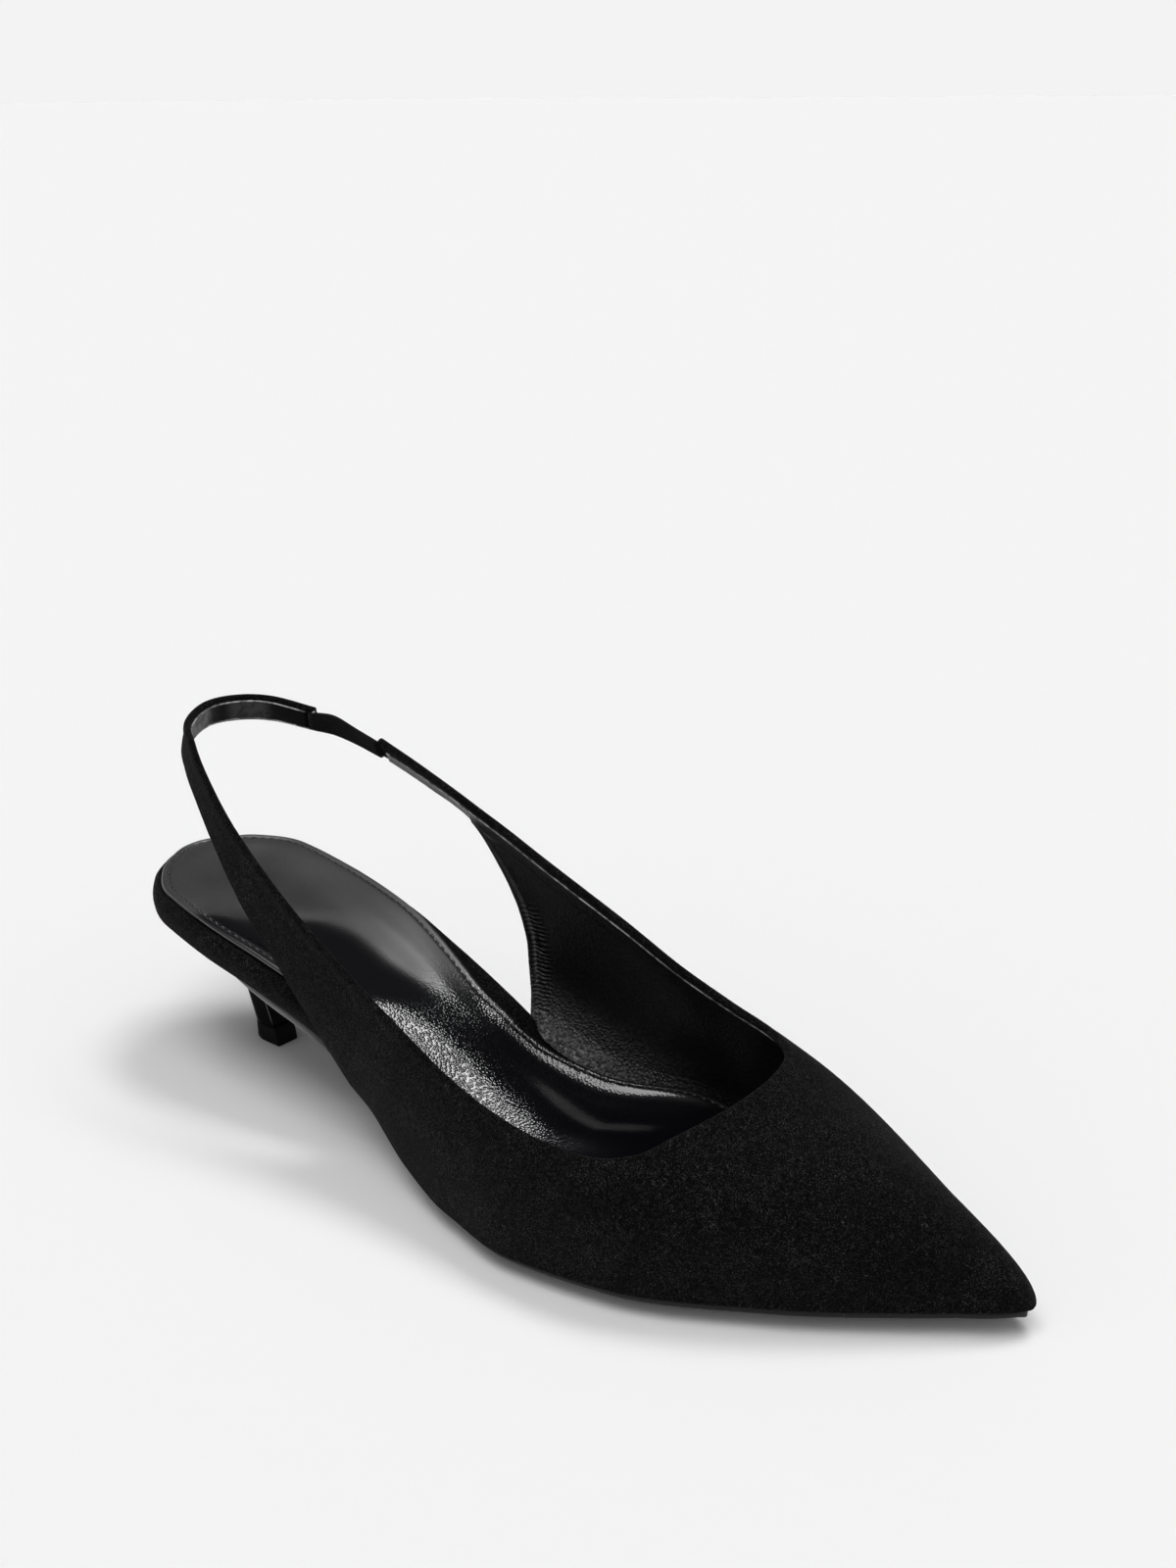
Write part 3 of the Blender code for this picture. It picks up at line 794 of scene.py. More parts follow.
def joined(solids):
    """Several solids as one list of points and faces."""
    points = []
    faces = []
    start = 0
    for some_points, some_faces in solids:
        points.append(some_points)
        faces += [tuple(start + k for k in face) for face in some_faces]
        start += len(some_points)
    return np.concatenate(points), faces


def feather(place):
    """Lower edge of the upper's inner face. Place runs 0 to 1 up the lateral side to the tip, then to 2."""
    place = np.asarray(place, float)
    side = np.where(place > 1.0, 1.0, -1.0)
    x = station(np.where(place > 1.0, 2.0 - place, place), UPPER_TIP_X)
    y = middle(x) + side * upper_half(x)
    return np.stack([x, y, board_under(x, y)], -1)


def feather_places():
    near = turn(FEATHER[:, 1], UPPER_TIP_X)
    return np.where(FEATHER[:, 2] > 0.0, 2.0 - near, near)


def lower_edge(pace):
    """Lower edge of the upper: strap, lateral back edge, feather line, medial back edge, strap stub."""
    places = feather_places()
    rows = np.concatenate([
        STRAP_LOW,
        np.column_stack([FEATHER[:, 0], feather(places)]),
        STUB_LOW,
    ])
    free = line_through(rows, pace)
    held = feather(flowing(FEATHER[:, 0], places, pace))
    on_feather = (pace >= FEATHER[0, 0]) & (pace <= FEATHER[-1, 0])
    return np.where(on_feather[:, None], held, free)


def upper_grid(pace, rows):
    """Inner face of the upper, as the last gives it: a bent line from lower edge to topline per pace."""
    low = lower_edge(pace)
    top = line_through(TOPLINE, pace)
    shape = [curve(WALL_SHAPE, pace, i) for i in range(1, WALL_SHAPE.shape[1])]
    heading, low_lean, top_lean = (np.radians(column) for column in shape[:3])
    rise, run, slide = shape[3:]
    sideways = np.stack([-np.sin(heading), np.cos(heading), np.zeros(len(pace))], -1)
    drift = slide * np.sum((top - low) * sideways, -1)

    def leaning(lean):
        return np.stack([np.cos(heading) * np.sin(lean), np.sin(heading) * np.sin(lean), np.cos(lean)], -1)

    first = low + rise[:, None] * leaning(low_lean) + drift[:, None] * sideways
    second = top - run[:, None] * leaning(top_lean)
    t = np.linspace(0.0, 1.0, rows)[None, :, None]
    return (
        (1 - t) ** 3 * low[:, None]
        + 3 * t * (1 - t) ** 2 * first[:, None]
        + 3 * t * t * (1 - t) * second[:, None]
        + t ** 3 * top[:, None]
    )


class Wall:
    """The upper's inner face, read by distance up from the lower edge and distance out from the face."""

    def __init__(self, pace, grid, out):
        self.pace = pace
        self.grid = grid
        self.out = out
        steps = np.linalg.norm(np.diff(grid, axis=1), axis=2)
        self.up = np.concatenate([np.zeros((len(pace), 1)), np.cumsum(steps, axis=1)], axis=1)
        self.high = self.up[:, -1]

    def part(self, columns):
        return Wall(self.pace[columns], self.grid[columns], self.out[columns])

    def read(self, table, up):
        """Rows of a grid, read at the distances given up each section."""
        found = np.empty(up.shape + (3,))
        for i in range(len(up)):
            for axis in range(3):
                found[i, :, axis] = np.interp(up[i], self.up[i], table[i, :, axis])
        return found

    def points(self, up, out):
        return self.read(self.grid, up) + self.read(self.out, up) * out[:, :, None]


def whole_wall():
    pace = np.linspace(TOPLINE[0, 0], TOPLINE[-1, 0], UPPER_SECTIONS)
    grid = upper_grid(pace, WALL_ROWS)
    out = np.cross(np.gradient(grid, axis=0), np.gradient(grid, axis=1))
    return Wall(pace, grid, out / np.linalg.norm(out, axis=2, keepdims=True))


def layer(wall, start, stop, inner, outer, rows, edge, relief):
    """Closed sheet on the wall between two distances up it and two distances out, with rounded edges.

    The relief gives what is added to its outer and inner face, from the place and the distance up.
    """
    quarter = np.radians(np.linspace(0.0, 90.0, ROUND_STEPS))
    span = (stop - start)[:, None]
    edge = np.minimum(edge, MOST_EDGE * span)
    even = np.linspace(0.0, 1.0, rows)[None, 1:-1]
    between = even - EDGE_CROWDING * np.sin(2.0 * math.pi * even) / (2.0 * math.pi)
    rising = start[:, None] + edge * (1.0 - np.cos(quarter))
    faces = start[:, None] + edge + (span - 2.0 * edge) * between
    falling = stop[:, None] - edge * (1.0 - np.cos(quarter[::-1]))
    up = np.concatenate([rising, faces, falling], axis=1)
    side = np.concatenate([np.sin(quarter), np.ones(rows - 2), np.sin(quarter[::-1])])[None, :]
    centre = (inner + outer) / 2.0
    half = (outer - inner) / 2.0
    over, under = relief(wall, up)
    front = wall.points(up, centre + (half + over) * side)
    back = wall.points(up, centre - (half + under) * side)
    return lath(list(np.concatenate([back, front[:, -2:0:-1]], axis=1)))


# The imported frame's place
def turned(points):
    swing = math.atan2(SWING, UPPER_TIP_X - REAR_X)
    c, s = math.cos(swing), math.sin(swing)
    x, y, z = np.asarray(points, float).T
    return np.column_stack([c * x + s * y, c * y - s * x, z])


def heel_section(rear, breast, half, steps):
    """Plan of the heel: flat breast and sides meeting at sharp ridges, rounded back."""
    depth = breast - rear
    bend = np.radians(np.linspace(90.0, 270.0, steps))
    back_x = rear + HEEL_ROUND * depth * (1.0 + np.cos(bend))
    back_y = half * np.sin(bend)
    corner = HEEL_BREAST_SHARE * half
    side_x = breast - HEEL_RIDGE * (breast - back_x[0])
    side_y = half + (corner - half) * (1.0 - HEEL_RIDGE)
    face_y = corner * HEEL_FACE
    face_x = np.full(len(HEEL_FACE), breast)
    x = np.concatenate([side_x[::-1][1:], back_x, side_x[:2], [breast], face_x[::-1], [breast]])
    y = np.concatenate([side_y[::-1][1:], back_y, -side_y[:2], [-corner], face_y[::-1], [corner]])
    return np.column_stack([x, y])


def heel_rings(rows, steps):
    rings = []
    for height, rear, breast, half in rows:
        plan = heel_section(rear, breast, half, steps)
        rings.append(np.column_stack([plan, np.full(len(plan), height)]))
    return rings


TIP_LOW = turned(np.concatenate(heel_rings(TOP_PIECE, CAD_HEEL_STEPS))).min(0)
SHIFT = np.array(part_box("top_piece")[0]) / MM - TIP_LOW


def to_frame(points):
    return (turned(points) + SHIFT) * MM


def add_piece(name, solid, materials, replaces=(), face_material=None, marks=None):
    """Makes a named piece that rides with the shoe. marks are numbers per point that its materials read."""
    points, faces = solid
    mesh = bpy.data.meshes.new(name)
    mesh.from_pydata(to_frame(points).tolist(), [], faces)
    mesh.polygons.foreach_set("use_smooth", [True] * len(mesh.polygons))
    for material in materials:
        mesh.materials.append(material)
    if face_material is not None:
        mesh.polygons.foreach_set("material_index", face_material)
    for label, values in (marks or {}).items():
        layer_made = mesh.attributes.new(label, "FLOAT", "POINT")
        layer_made.data.foreach_set("value", np.asarray(values, float))
    mesh.update()
    obj = bpy.data.objects.new(name, mesh)
    bpy.context.scene.collection.objects.link(obj)
    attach(obj, "root")
    if replaces:
        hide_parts(*replaces)
    return obj


class Nodes:
    """A node tree with short ways to add to it."""

    def __init__(self, tree):
        self.tree = tree

    def node(self, kind):
        return self.tree.nodes.new(kind)

    def link(self, source, target):
        self.tree.links.new(source, target)

    def ramp(self, source, low, high, start=0.0, end=1.0):
        """Maps a number from start..end to low..high."""
        made = self.node("ShaderNodeMapRange")
        made.interpolation_type = "SMOOTHSTEP"
        settings = {"From Min": start, "From Max": end, "To Min": low, "To Max": high}
        for socket, value in settings.items():
            made.inputs[socket].default_value = value
        self.link(source, made.inputs["Value"])
        return made.outputs["Result"]

    def math(self, operation, *values):
        """Sum of numbers and sockets, by the name of its operation."""
        made = self.node("ShaderNodeMath")
        made.operation = operation
        for socket, value in zip(made.inputs, values):
            if isinstance(value, float):
                socket.default_value = value
            else:
                self.link(value, socket)
        return made.outputs["Value"]

    def mix(self, factor, first, second):
        """Mixes two colours, each given as a colour or as a socket."""
        made = self.node("ShaderNodeMix")
        made.data_type = "RGBA"
        for socket, value in ((MIX_FIRST, first), (MIX_SECOND, second)):
            if isinstance(value, tuple):
                made.inputs[socket].default_value = (*value, 1.0)
            else:
                self.link(value, made.inputs[socket])
        self.link(factor, made.inputs["Factor"])
        return made.outputs[MIX_RESULT]


class Surface(Nodes):
    """A Principled material. Places and bump distances are the shoe's own, in metres.

    Its colour and roughness hold where no node is linked over them.
    """

    def __init__(self, name, colour, roughness, **constant):
        self.material = bpy.data.materials.new(name)
        self.material.use_nodes = True
        super().__init__(self.material.node_tree)
        self.shader = self.tree.nodes["Principled BSDF"]
        self.shader.inputs["Base Color"].default_value = (*colour, 1.0)
        self.shader.inputs["Roughness"].default_value = roughness
        for socket, value in constant.items():
            self.shader.inputs[socket.replace("_", " ")].default_value = value
        self.place = self.node("ShaderNodeTexCoord").outputs["Object"]

    def noise(self, scale, detail=2.0, distortion=0.0, roughness=0.5):
        made = self.node("ShaderNodeTexNoise")
        settings = {"Scale": scale, "Detail": detail, "Distortion": distortion, "Roughness": roughness}
        for socket, value in settings.items():
            made.inputs[socket].default_value = value
        self.link(self.place, made.inputs["Vector"])
        return made.outputs["Fac"]

    def cells(self, scale):
        """Distance to the middle of the nearest cell."""
        made = self.node("ShaderNodeTexVoronoi")
        made.inputs["Scale"].default_value = scale
        self.link(self.place, made.inputs["Vector"])
        return made.outputs["Distance"]

    def height(self):
        made = self.node("ShaderNodeSeparateXYZ")
        self.link(self.place, made.inputs["Vector"])
        return made.outputs["Z"]

    def mark(self, label):
        made = self.node("ShaderNodeAttribute")
        made.attribute_name = label
        return made.outputs["Fac"]

    def colours(self, factor, first, second):
        self.link(self.mix(factor, first, second), self.shader.inputs["Base Color"])

    def bump(self, height, strength, distance, under=None):
        made = self.node("ShaderNodeBump")
        made.inputs["Strength"].default_value = strength
        made.inputs["Distance"].default_value = distance
        self.link(height, made.inputs["Height"])
        if under is not None:
            self.link(under, made.inputs["Normal"])
        self.link(made.outputs["Normal"], self.shader.inputs["Normal"])
        return made.outputs["Normal"]

    def roughness(self, source):
        self.link(source, self.shader.inputs["Roughness"])


def suede_surface():
    """Black suede: worm-like nap, lighter tips, soft brushed patches."""
    made = Surface(
        "suede", grey(0.008), 0.95,
        Specular_IOR_Level=0.04, Sheen_Weight=0.05, Sheen_Roughness=0.28, Sheen_Tint=(0.8, 0.8, 0.82, 1.0),
    )
    nap = made.noise(1700.0, 3.0, 2.4, 0.6)
    fine = made.noise(5200.0, 2.0, 0.6)
    brushed = made.noise(55.0, 3.0, 1.2)
    tips = made.ramp(nap, 0.0, 1.0, 0.52, 0.68)
    tips = made.math("MULTIPLY", tips, made.ramp(brushed, 0.6, 1.3, 0.3, 0.75))
    made.colours(tips, grey(0.002), grey(0.043))
    coarse = made.bump(nap, 0.8, 0.0004)
    made.bump(fine, 0.35, 0.00012, coarse)
    return made.material


def lining_surface():
    """Smooth leather, pebbled and paler at its foot, from rubbing and from a painted highlight, gathered
    beside the back edge.
    """
    made = Surface("lining_leather", (0.004, 0.004, 0.0045), 0.34, Specular_IOR_Level=0.4)
    rub_and_glint = made.mark("rub_and_glint")
    pebble = made.cells(1150.0)
    fine = made.noise(2600.0, 3.0, 0.8)
    # Pale foot: rubbing, and a painted highlight for the glints on its pebble
    mottled = made.math("MULTIPLY", rub_and_glint, made.ramp(made.noise(900.0, 3.0, 1.0), 0.35, 1.0, 0.35, 0.62))
    # The pale line beside the back edge is the bead's highlight, painted
    mottled = made.math("MAXIMUM", mottled, made.mark("pale"))
    made.colours(mottled, (0.0006, 0.0006, 0.0007), (0.13, 0.13, 0.131))
    made.roughness(made.ramp(rub_and_glint, 0.4, 0.3))
    domes = made.ramp(pebble, 1.0, 0.0, 0.05, 0.75)
    domes = made.math("MULTIPLY", domes, made.ramp(rub_and_glint, 0.2, 1.0, 0.0, 0.6))
    coarse = made.bump(domes, 0.9, 0.0005)
    grain = made.bump(fine, 0.12, 0.0001, coarse)
    wander = made.math("MULTIPLY", made.noise(300.0), GATHER_WANDER)
    turns = made.math("ADD", made.math("MULTIPLY", made.height(), 2.0 * math.pi / GATHER_PITCH), wander)
    ripple = made.math("MULTIPLY", made.math("SINE", turns), made.mark("gathered"))
    made.bump(ripple, 1.0, 0.0004, grain)
    return made.material


def strap_lining_surface():
    """Lining round the strap: dull black with stretches where highlights are painted pale."""
    made = Surface("strap_lining", grey(0.002), 0.5, Specular_IOR_Level=0.06)
    cloud = made.ramp(made.noise(420.0, 3.0, 0.8), 0.5, 1.0, 0.3, 0.6)
    # Pale stretches: painted highlights on the strap lining
    made.colours(made.math("MULTIPLY", made.mark("strap_highlight"), cloud), grey(0.001), grey(0.2))
    made.bump(made.noise(1800.0, 3.0, 0.8), 0.3, 0.0001)
    return made.material


def sock_surface():
    """Satin sock leather: dusted grey on the heel, with highlights painted grey along the ridge and a band
    further forward, near black elsewhere.
    """
    made = Surface("sock_leather", (0.02, 0.02, 0.022), 0.34, Specular_IOR_Level=1.0)
    dust_and_highlight = made.mark("dust_and_highlight")
    speckle = made.noise(1500.0, 4.0, 0.6, 0.65)
    cloud = made.noise(70.0, 3.0, 0.8)
    shade = made.math("MULTIPLY", dust_and_highlight, made.ramp(speckle, 0.55, 1.1, 0.3, 0.7))
    shade = made.math("MULTIPLY", shade, made.ramp(cloud, 0.75, 1.1, 0.3, 0.7))
    # Grey: the heel dusted, and highlights painted along the ridge and a band further forward
    made.colours(shade, (0.0008, 0.0008, 0.0022), (0.032, 0.032, 0.0325))
    made.roughness(made.ramp(dust_and_highlight, 0.16, 0.42, 0.0, 0.55))
    pebble = made.math("MULTIPLY", made.ramp(made.cells(1500.0), 1.0, 0.0, 0.0, 0.8), made.mark("grained"))
    grain = made.bump(pebble, 0.9, 0.00008)
    made.bump(made.noise(4200.0, 3.0, 0.5), 0.08, 0.0001, grain)
    return made.material


def thread_surface():
    made = Surface("thread", grey(0.012), 0.36, Specular_IOR_Level=0.8)
    made.bump(made.noise(4500.0, 2.0, 1.5), 0.5, 0.0001)
    return made.material


def edge_surface():
    """Cut and folded leather edge, paler and shinier than the faces."""
    made = Surface("leather_edge", (0.05, 0.05, 0.052), 0.3, Specular_IOR_Level=0.6, Coat_Weight=0.5)
    rub_and_glint = made.ramp(made.noise(420.0, 3.0, 0.8), 0.0, 1.0, 0.35, 0.68)
    made.colours(rub_and_glint, (0.04, 0.04, 0.041), (0.45, 0.45, 0.455))
    made.bump(made.noise(1800.0, 3.0, 0.8), 0.35, 0.0002)
    return made.material


def sole_surface():
    """Smooth black sole with a fine pebble, dulled where it treads."""
    made = Surface("sole", grey(0.014), 0.45, Specular_IOR_Level=0.5)
    # Tread wear, at random over the sole
    wear_and_highlight = made.noise(130.0, 4.0, 0.8, 0.6)
    made.colours(made.ramp(wear_and_highlight, 0.0, 1.0, 0.4, 0.7), grey(0.008), (0.022, 0.021, 0.02))
    made.roughness(made.ramp(wear_and_highlight, 0.36, 0.6, 0.35, 0.7))
    made.bump(made.cells(1000.0), 0.35, 0.00025)
    return made.material


def sole_edge_surface():
    """Painted edge of the sole, with a highlight painted pale at the waist and a few spots pale from
    rubbing.
    """
    made = Surface("sole_edge", grey(0.004), 0.3, Specular_IOR_Level=0.2)
    rub = made.noise(520.0, 4.0, 0.8, 0.62)
    # Pale: a painted highlight at the waist, and spots pale from rubbing
    pale = made.math("MAXIMUM", made.mark("edge_highlight"), made.ramp(rub, 0.0, 0.8, 0.68, 0.74))
    made.colours(pale, grey(0.004), (0.3, 0.295, 0.29))
    made.bump(made.noise(1400.0, 2.0, 0.4), 0.12, 0.0001)
    return made.material


def lacquer_surface():
    """Black lacquer, with a highlight painted pale on the ridge."""
    made = Surface("lacquer", grey(0.002), 0.2, Specular_IOR_Level=0.02)
    # Pale on the ridge: painted highlight
    made.colours(made.mark("wear_and_highlight"), grey(0.0016), grey(0.3))
    made.roughness(made.ramp(made.noise(300.0, 3.0, 0.5), 0.12, 0.26, 0.3, 0.7))
    made.bump(made.noise(240.0, 2.0, 0.3), 0.06, 0.0002)
    return made.material


def rubber_surface():
    made = Surface("top_piece_rubber", grey(0.004), 0.62, Specular_IOR_Level=0.06)
    made.colours(made.noise(900.0, 4.0, 0.5), grey(0.002), grey(0.008))
    made.bump(made.noise(1600.0, 3.0, 0.5), 0.3, 0.0001)
    return made.material


def elastic_surface():
    """Woven elastic, matte, with a fine weave."""
    made = Surface("elastic_weave", grey(0.003), 0.9, Specular_IOR_Level=0.04, Sheen_Weight=0.03)
    weave = made.noise(2300.0, 2.0, 0.8)
    made.colours(weave, grey(0.001), grey(0.008))
    made.bump(weave, 0.7, 0.0003)
    return made.material


def upper_suede(wall, surface):
    """Suede wall of the upper with folded, rounded edges and a faint swell along the topline."""

    def relief(part, up):
        below = part.high[:, None] - up
        swell = FOLD_HIGH * bell(below, FOLD_AT, FOLD_HALF)
        drawn = FOLD_DRAWN * bell(below, FOLD_DRAWN_AT, FOLD_HALF)
        return swell - drawn, 0.0

    foot = np.zeros(len(wall.high))
    solid = layer(wall, foot, wall.high, 0.0, WALL, SUEDE_ROWS, SUEDE_EDGE, relief)
    add_piece("upper_suede", solid, [surface], ["upper"])


def lining_edges(wall):
    """Distances up the wall where the lining starts and stops: it ends below on the board's rim or edge."""
    top = curve(LINING_MARGIN, wall.pace)
    low = curve(LINING_MARGIN, wall.pace, 2)
    return np.maximum(low, rim_up(wall) - LINING_UNDER_RIM), wall.high - top


def rim_up(wall):
    """Distance up each section of the wall to the board's rim, 0 where the wall hangs free above it."""
    found = np.zeros(len(wall.pace))
    for i, section in enumerate(wall.grid):
        above = section[:, 2] - board(section[:, 0], RIM)
        if above[0] < 0.0:
            found[i] = np.interp(0.0, above, wall.up[i])
    return found


def away_from(line, points):
    """Distance of each point from the nearest spot of a line."""
    found = np.full(points.shape[:-1], np.inf)
    for spot in line:
        found = np.minimum(found, np.linalg.norm(points - spot, axis=-1))
    return found


def lining(wall, surface, strap_surface):
    """Lining inside the wall: line of the turned edge, bead at the back edge, bend into the board."""
    part = wall.part(np.arange(LINING_TRIM, UPPER_SECTIONS - LINING_TRIM))
    start, stop = lining_edges(part)
    back_edge = lower_edge(np.linspace(*BACK_EDGE, EDGE_SPOTS))
    medial_top = wall.grid[wall.pace > SECOND_LINE_START[0], -1]

    def relief(part, up):
        pace = part.pace[:, None]
        face = part.read(part.grid, up)
        below = away_from(medial_top, face)
        line = SECOND_LINE_HIGH * between(pace, SECOND_LINE_START, SECOND_LINE_END)
        line = line * bell(below, SECOND_LINE_DROP, SECOND_LINE_HALF)
        from_back = away_from(back_edge, face)
        bead = BACK_BEAD_HIGH * bell(from_back, BACK_BEAD_AT, BACK_BEAD_HALF)
        seam = BACK_SEAM_DEEP * bell(from_back, BACK_SEAM_AT, BACK_SEAM_HALF)
        above = face[:, :, 2] - board(face[:, :, 0], RIM)
        bend = curve(LINING_BEND, pace) * np.clip(1.0 - np.abs(above) / BEND_UP, 0.0, 1.0) ** BEND_POWER
        return 0.0, np.maximum(line + bead - seam + bend, -LINING_THICK / 2.0)

    solid = layer(part, start, stop, -LINING_THICK, LINING_SINK, LINING_ROWS, LINING_EDGE, relief)
    points = solid[0]
    per_section = len(points) // len(part.pace)
    high = points[:, 2]
    from_back = away_from(back_edge, points)
    marks = {
        # Foot pale from rubbing and from a painted highlight
        "rub_and_glint": lining_rub_and_glint(points),
        # Highlights painted pale on the strap's lining
        "strap_highlight": curve(STRAP_HIGHLIGHT, np.repeat(part.pace, per_section)),
        "gathered": bell(from_back, GATHER_AT, GATHER_HALF) * between(high, GATHER_LOW, GATHER_HIGH),
        # Highlight of the bead, painted as a pale line beside the back edge
        "pale": bell(from_back, HIGHLIGHT_LINE_AT, HIGHLIGHT_LINE_HALF) * (1.0 - smooth(high, *HIGHLIGHT_LINE_HIGH)),
    }
    round_strap = part.pace < STRAP_LOW[-1, 0]
    index = np.repeat(round_strap[:-1], per_section).astype(int)
    index = np.concatenate([index, np.zeros(len(solid[1]) - len(index), int)])
    add_piece("quarter_lining", solid, [surface, strap_surface], (), index, marks)


def lining_rub_and_glint(points):
    """How far the lining is pale from rubbing and from a painted highlight: the foot of the medial quarter.
    """
    x, y, z = points.T
    low = bell(z - board(x, RIM), RUB_GLINT_UP, RUB_GLINT_HALF)
    return low * between(x, RUB_GLINT_BACK, RUB_GLINT_FRONT) * (y > 0.0)


def lining_bead(wall, surface):
    """Pale cut edge of the lining along the topline and the free lower edges, and the strap's cut end."""
    solids = []
    for first, last, edge in BEADS:
        part = wall.part(np.flatnonzero((wall.pace >= first) & (wall.pace <= last)))
        at = lining_edges(part)[edge][:, None]
        out = part.read(part.out, at)[:, 0]
        path = part.read(part.grid, at)[:, 0] - out * BEAD_IN
        solids.append(tube(path, out, EDGE_RADIUS, EDGE_SIDES))
    end = wall.grid[0] - wall.out[0] * BEAD_IN
    rows = slice(*STRAP_END_ROWS)
    solids.append(tube(end[rows], wall.out[0][rows], STRAP_END_RADIUS, EDGE_SIDES))
    add_piece("lining_edge", joined(solids), [surface])


def covered_board(surface):
    """Insole board in its suede cover."""
    place = np.linspace(0.0, 1.0, BOARD_SIDE_ROWS)
    key = np.linspace(0.0, 1.0, len(BOARD_SIDE))
    rings = []
    for inset, share in zip(along(key, BOARD_SIDE[:, 0], place), along(key, BOARD_SIDE[:, 1], place)):
        plan = outline(BOARD_SECTIONS, inset, spread=FOREPART_SPREAD)
        low = board_under(plan[:, 0], plan[:, 1])
        high = board(plan[:, 0], RIM)
        rings.append(np.column_stack([plan, low + (high - low) * share]))
    solid = pad(rings, board_under, seat, BOARD_SECTIONS, BOARD_ACROSS)
    add_piece("covered_board_suede", solid, [surface], ["covered_board"])


def sock_relief(x, y):
    """Height added to the sock by the swells and troughs that the foot has pressed into it."""
    total = np.zeros(len(x))
    for height, lateral, medial, back_fade, front_fade, line in SOCK_RELIEF:
        line = np.array(line)
        aside = y - along(line[:, 0], line[:, 1], x)
        reach = np.where(aside < 0.0, lateral, medial)
        begun = smooth(x, line[0, 0] - back_fade / 2.0, line[0, 0] + back_fade / 2.0)
        ended = smooth(x, line[-1, 0] - front_fade / 2.0, line[-1, 0] + front_fade / 2.0)
        total += height * begun * (1.0 - ended) * bell(aside, 0.0, reach)
    return total


def sock_ring(inset, lift, lip):
    """Loop of points round the sock, with its medial edge turned up at the arch."""
    plan = outline(BOARD_SECTIONS, SOCK_INSET + inset, SOCK_ARCH, forepart=SOCK_FOREPART)
    x, y = plan.T
    pressed = sock_relief(x, y) * smooth(inset, *RELIEF_EDGE)
    at_arch = between(x, SOCK_LIP_BACK, SOCK_LIP_FRONT)
    medial = np.arange(len(plan)) <= BOARD_SECTIONS
    return np.column_stack([plan, seat(x, y) + GAP + lift + pressed + (lip - lift) * at_arch * medial])


def insole_sock(surface):
    """Padded sock: rolled edge, sewn groove, and the hollows that a foot has pressed into it."""
    rings = [sock_ring(*row) for row in SOCK_PROFILE]
    crown = SOCK_PROFILE[-1, 1]

    def under(x, y):
        return seat(x, y) + GAP

    def over(x, y):
        return seat(x, y) + GAP + crown + sock_relief(x, y)

    solid = pad(rings, under, over, BOARD_SECTIONS, SOCK_ACROSS)
    x, y, _ = solid[0].T
    # A highlight painted grey along a band further forward, made rougher too
    highlight_streak = bell(y, curve(HIGHLIGHT_STREAK, x), HIGHLIGHT_STREAK_HALF) * between(x, HIGHLIGHT_STREAK_BACK, HIGHLIGHT_STREAK_FRONT)
    # Dusted heel, and a highlight painted along the ridge medial of the same line
    dust_and_ridge_highlight = smooth(y - curve(DUST_HIGHLIGHT_LINE, x), *DUST_HIGHLIGHT_SOFT)
    dust_and_ridge_highlight = dust_and_ridge_highlight * (1.0 - (1.0 - DUST_HIGHLIGHT_THIN) * smooth(x, *DUST_HIGHLIGHT_THINS)) * (1.0 - smooth(x, *DUST_HIGHLIGHT_END))
    grained = smooth(x, *GRAINED) * (1.0 - FINER_SHARE * smooth(x, *FINER))
    marks = {"dust_and_highlight": np.maximum(dust_and_ridge_highlight, highlight_streak), "grained": grained}
    made = add_piece("padded_sock", solid, [surface], ["insole_sock"], marks=marks)


def sock_stitches(surface):
    """Row of stitches lying in the sock's groove."""
    ring = sock_ring(*SOCK_PROFILE[SOCK_GROOVE])
    ring = np.concatenate([ring, ring[:1]])
    run = np.concatenate([[0.0], np.cumsum(np.linalg.norm(np.diff(ring, axis=0), axis=1))])
    count = int(run[-1] / STITCH_PITCH)
    share = np.linspace(-0.5, 0.5, STITCH_STEPS)
    upright = np.tile((0.0, 0.0, 1.0), (STITCH_STEPS, 1))
    solids = []
    for k in range(count):
        at = run[-1] * (k + 0.5) / count + share * STITCH_LONG
        path = np.stack([np.interp(at, run, ring[:, i]) for i in range(3)], 1)
        arch = 1.0 - (2.0 * share) ** 2
        path[:, 2] += STITCH_RISE * arch - STITCH_SINK
        radius = STITCH_RADIUS * (STITCH_END + (1.0 - STITCH_END) * arch)
        solids.append(tube(path, upright, radius, STITCH_SIDES))
    add_piece("sock_stitches", joined(solids), [surface])


def sole_half(x):
    return upper_half(x) + curve(SOLE_MARGIN, x)


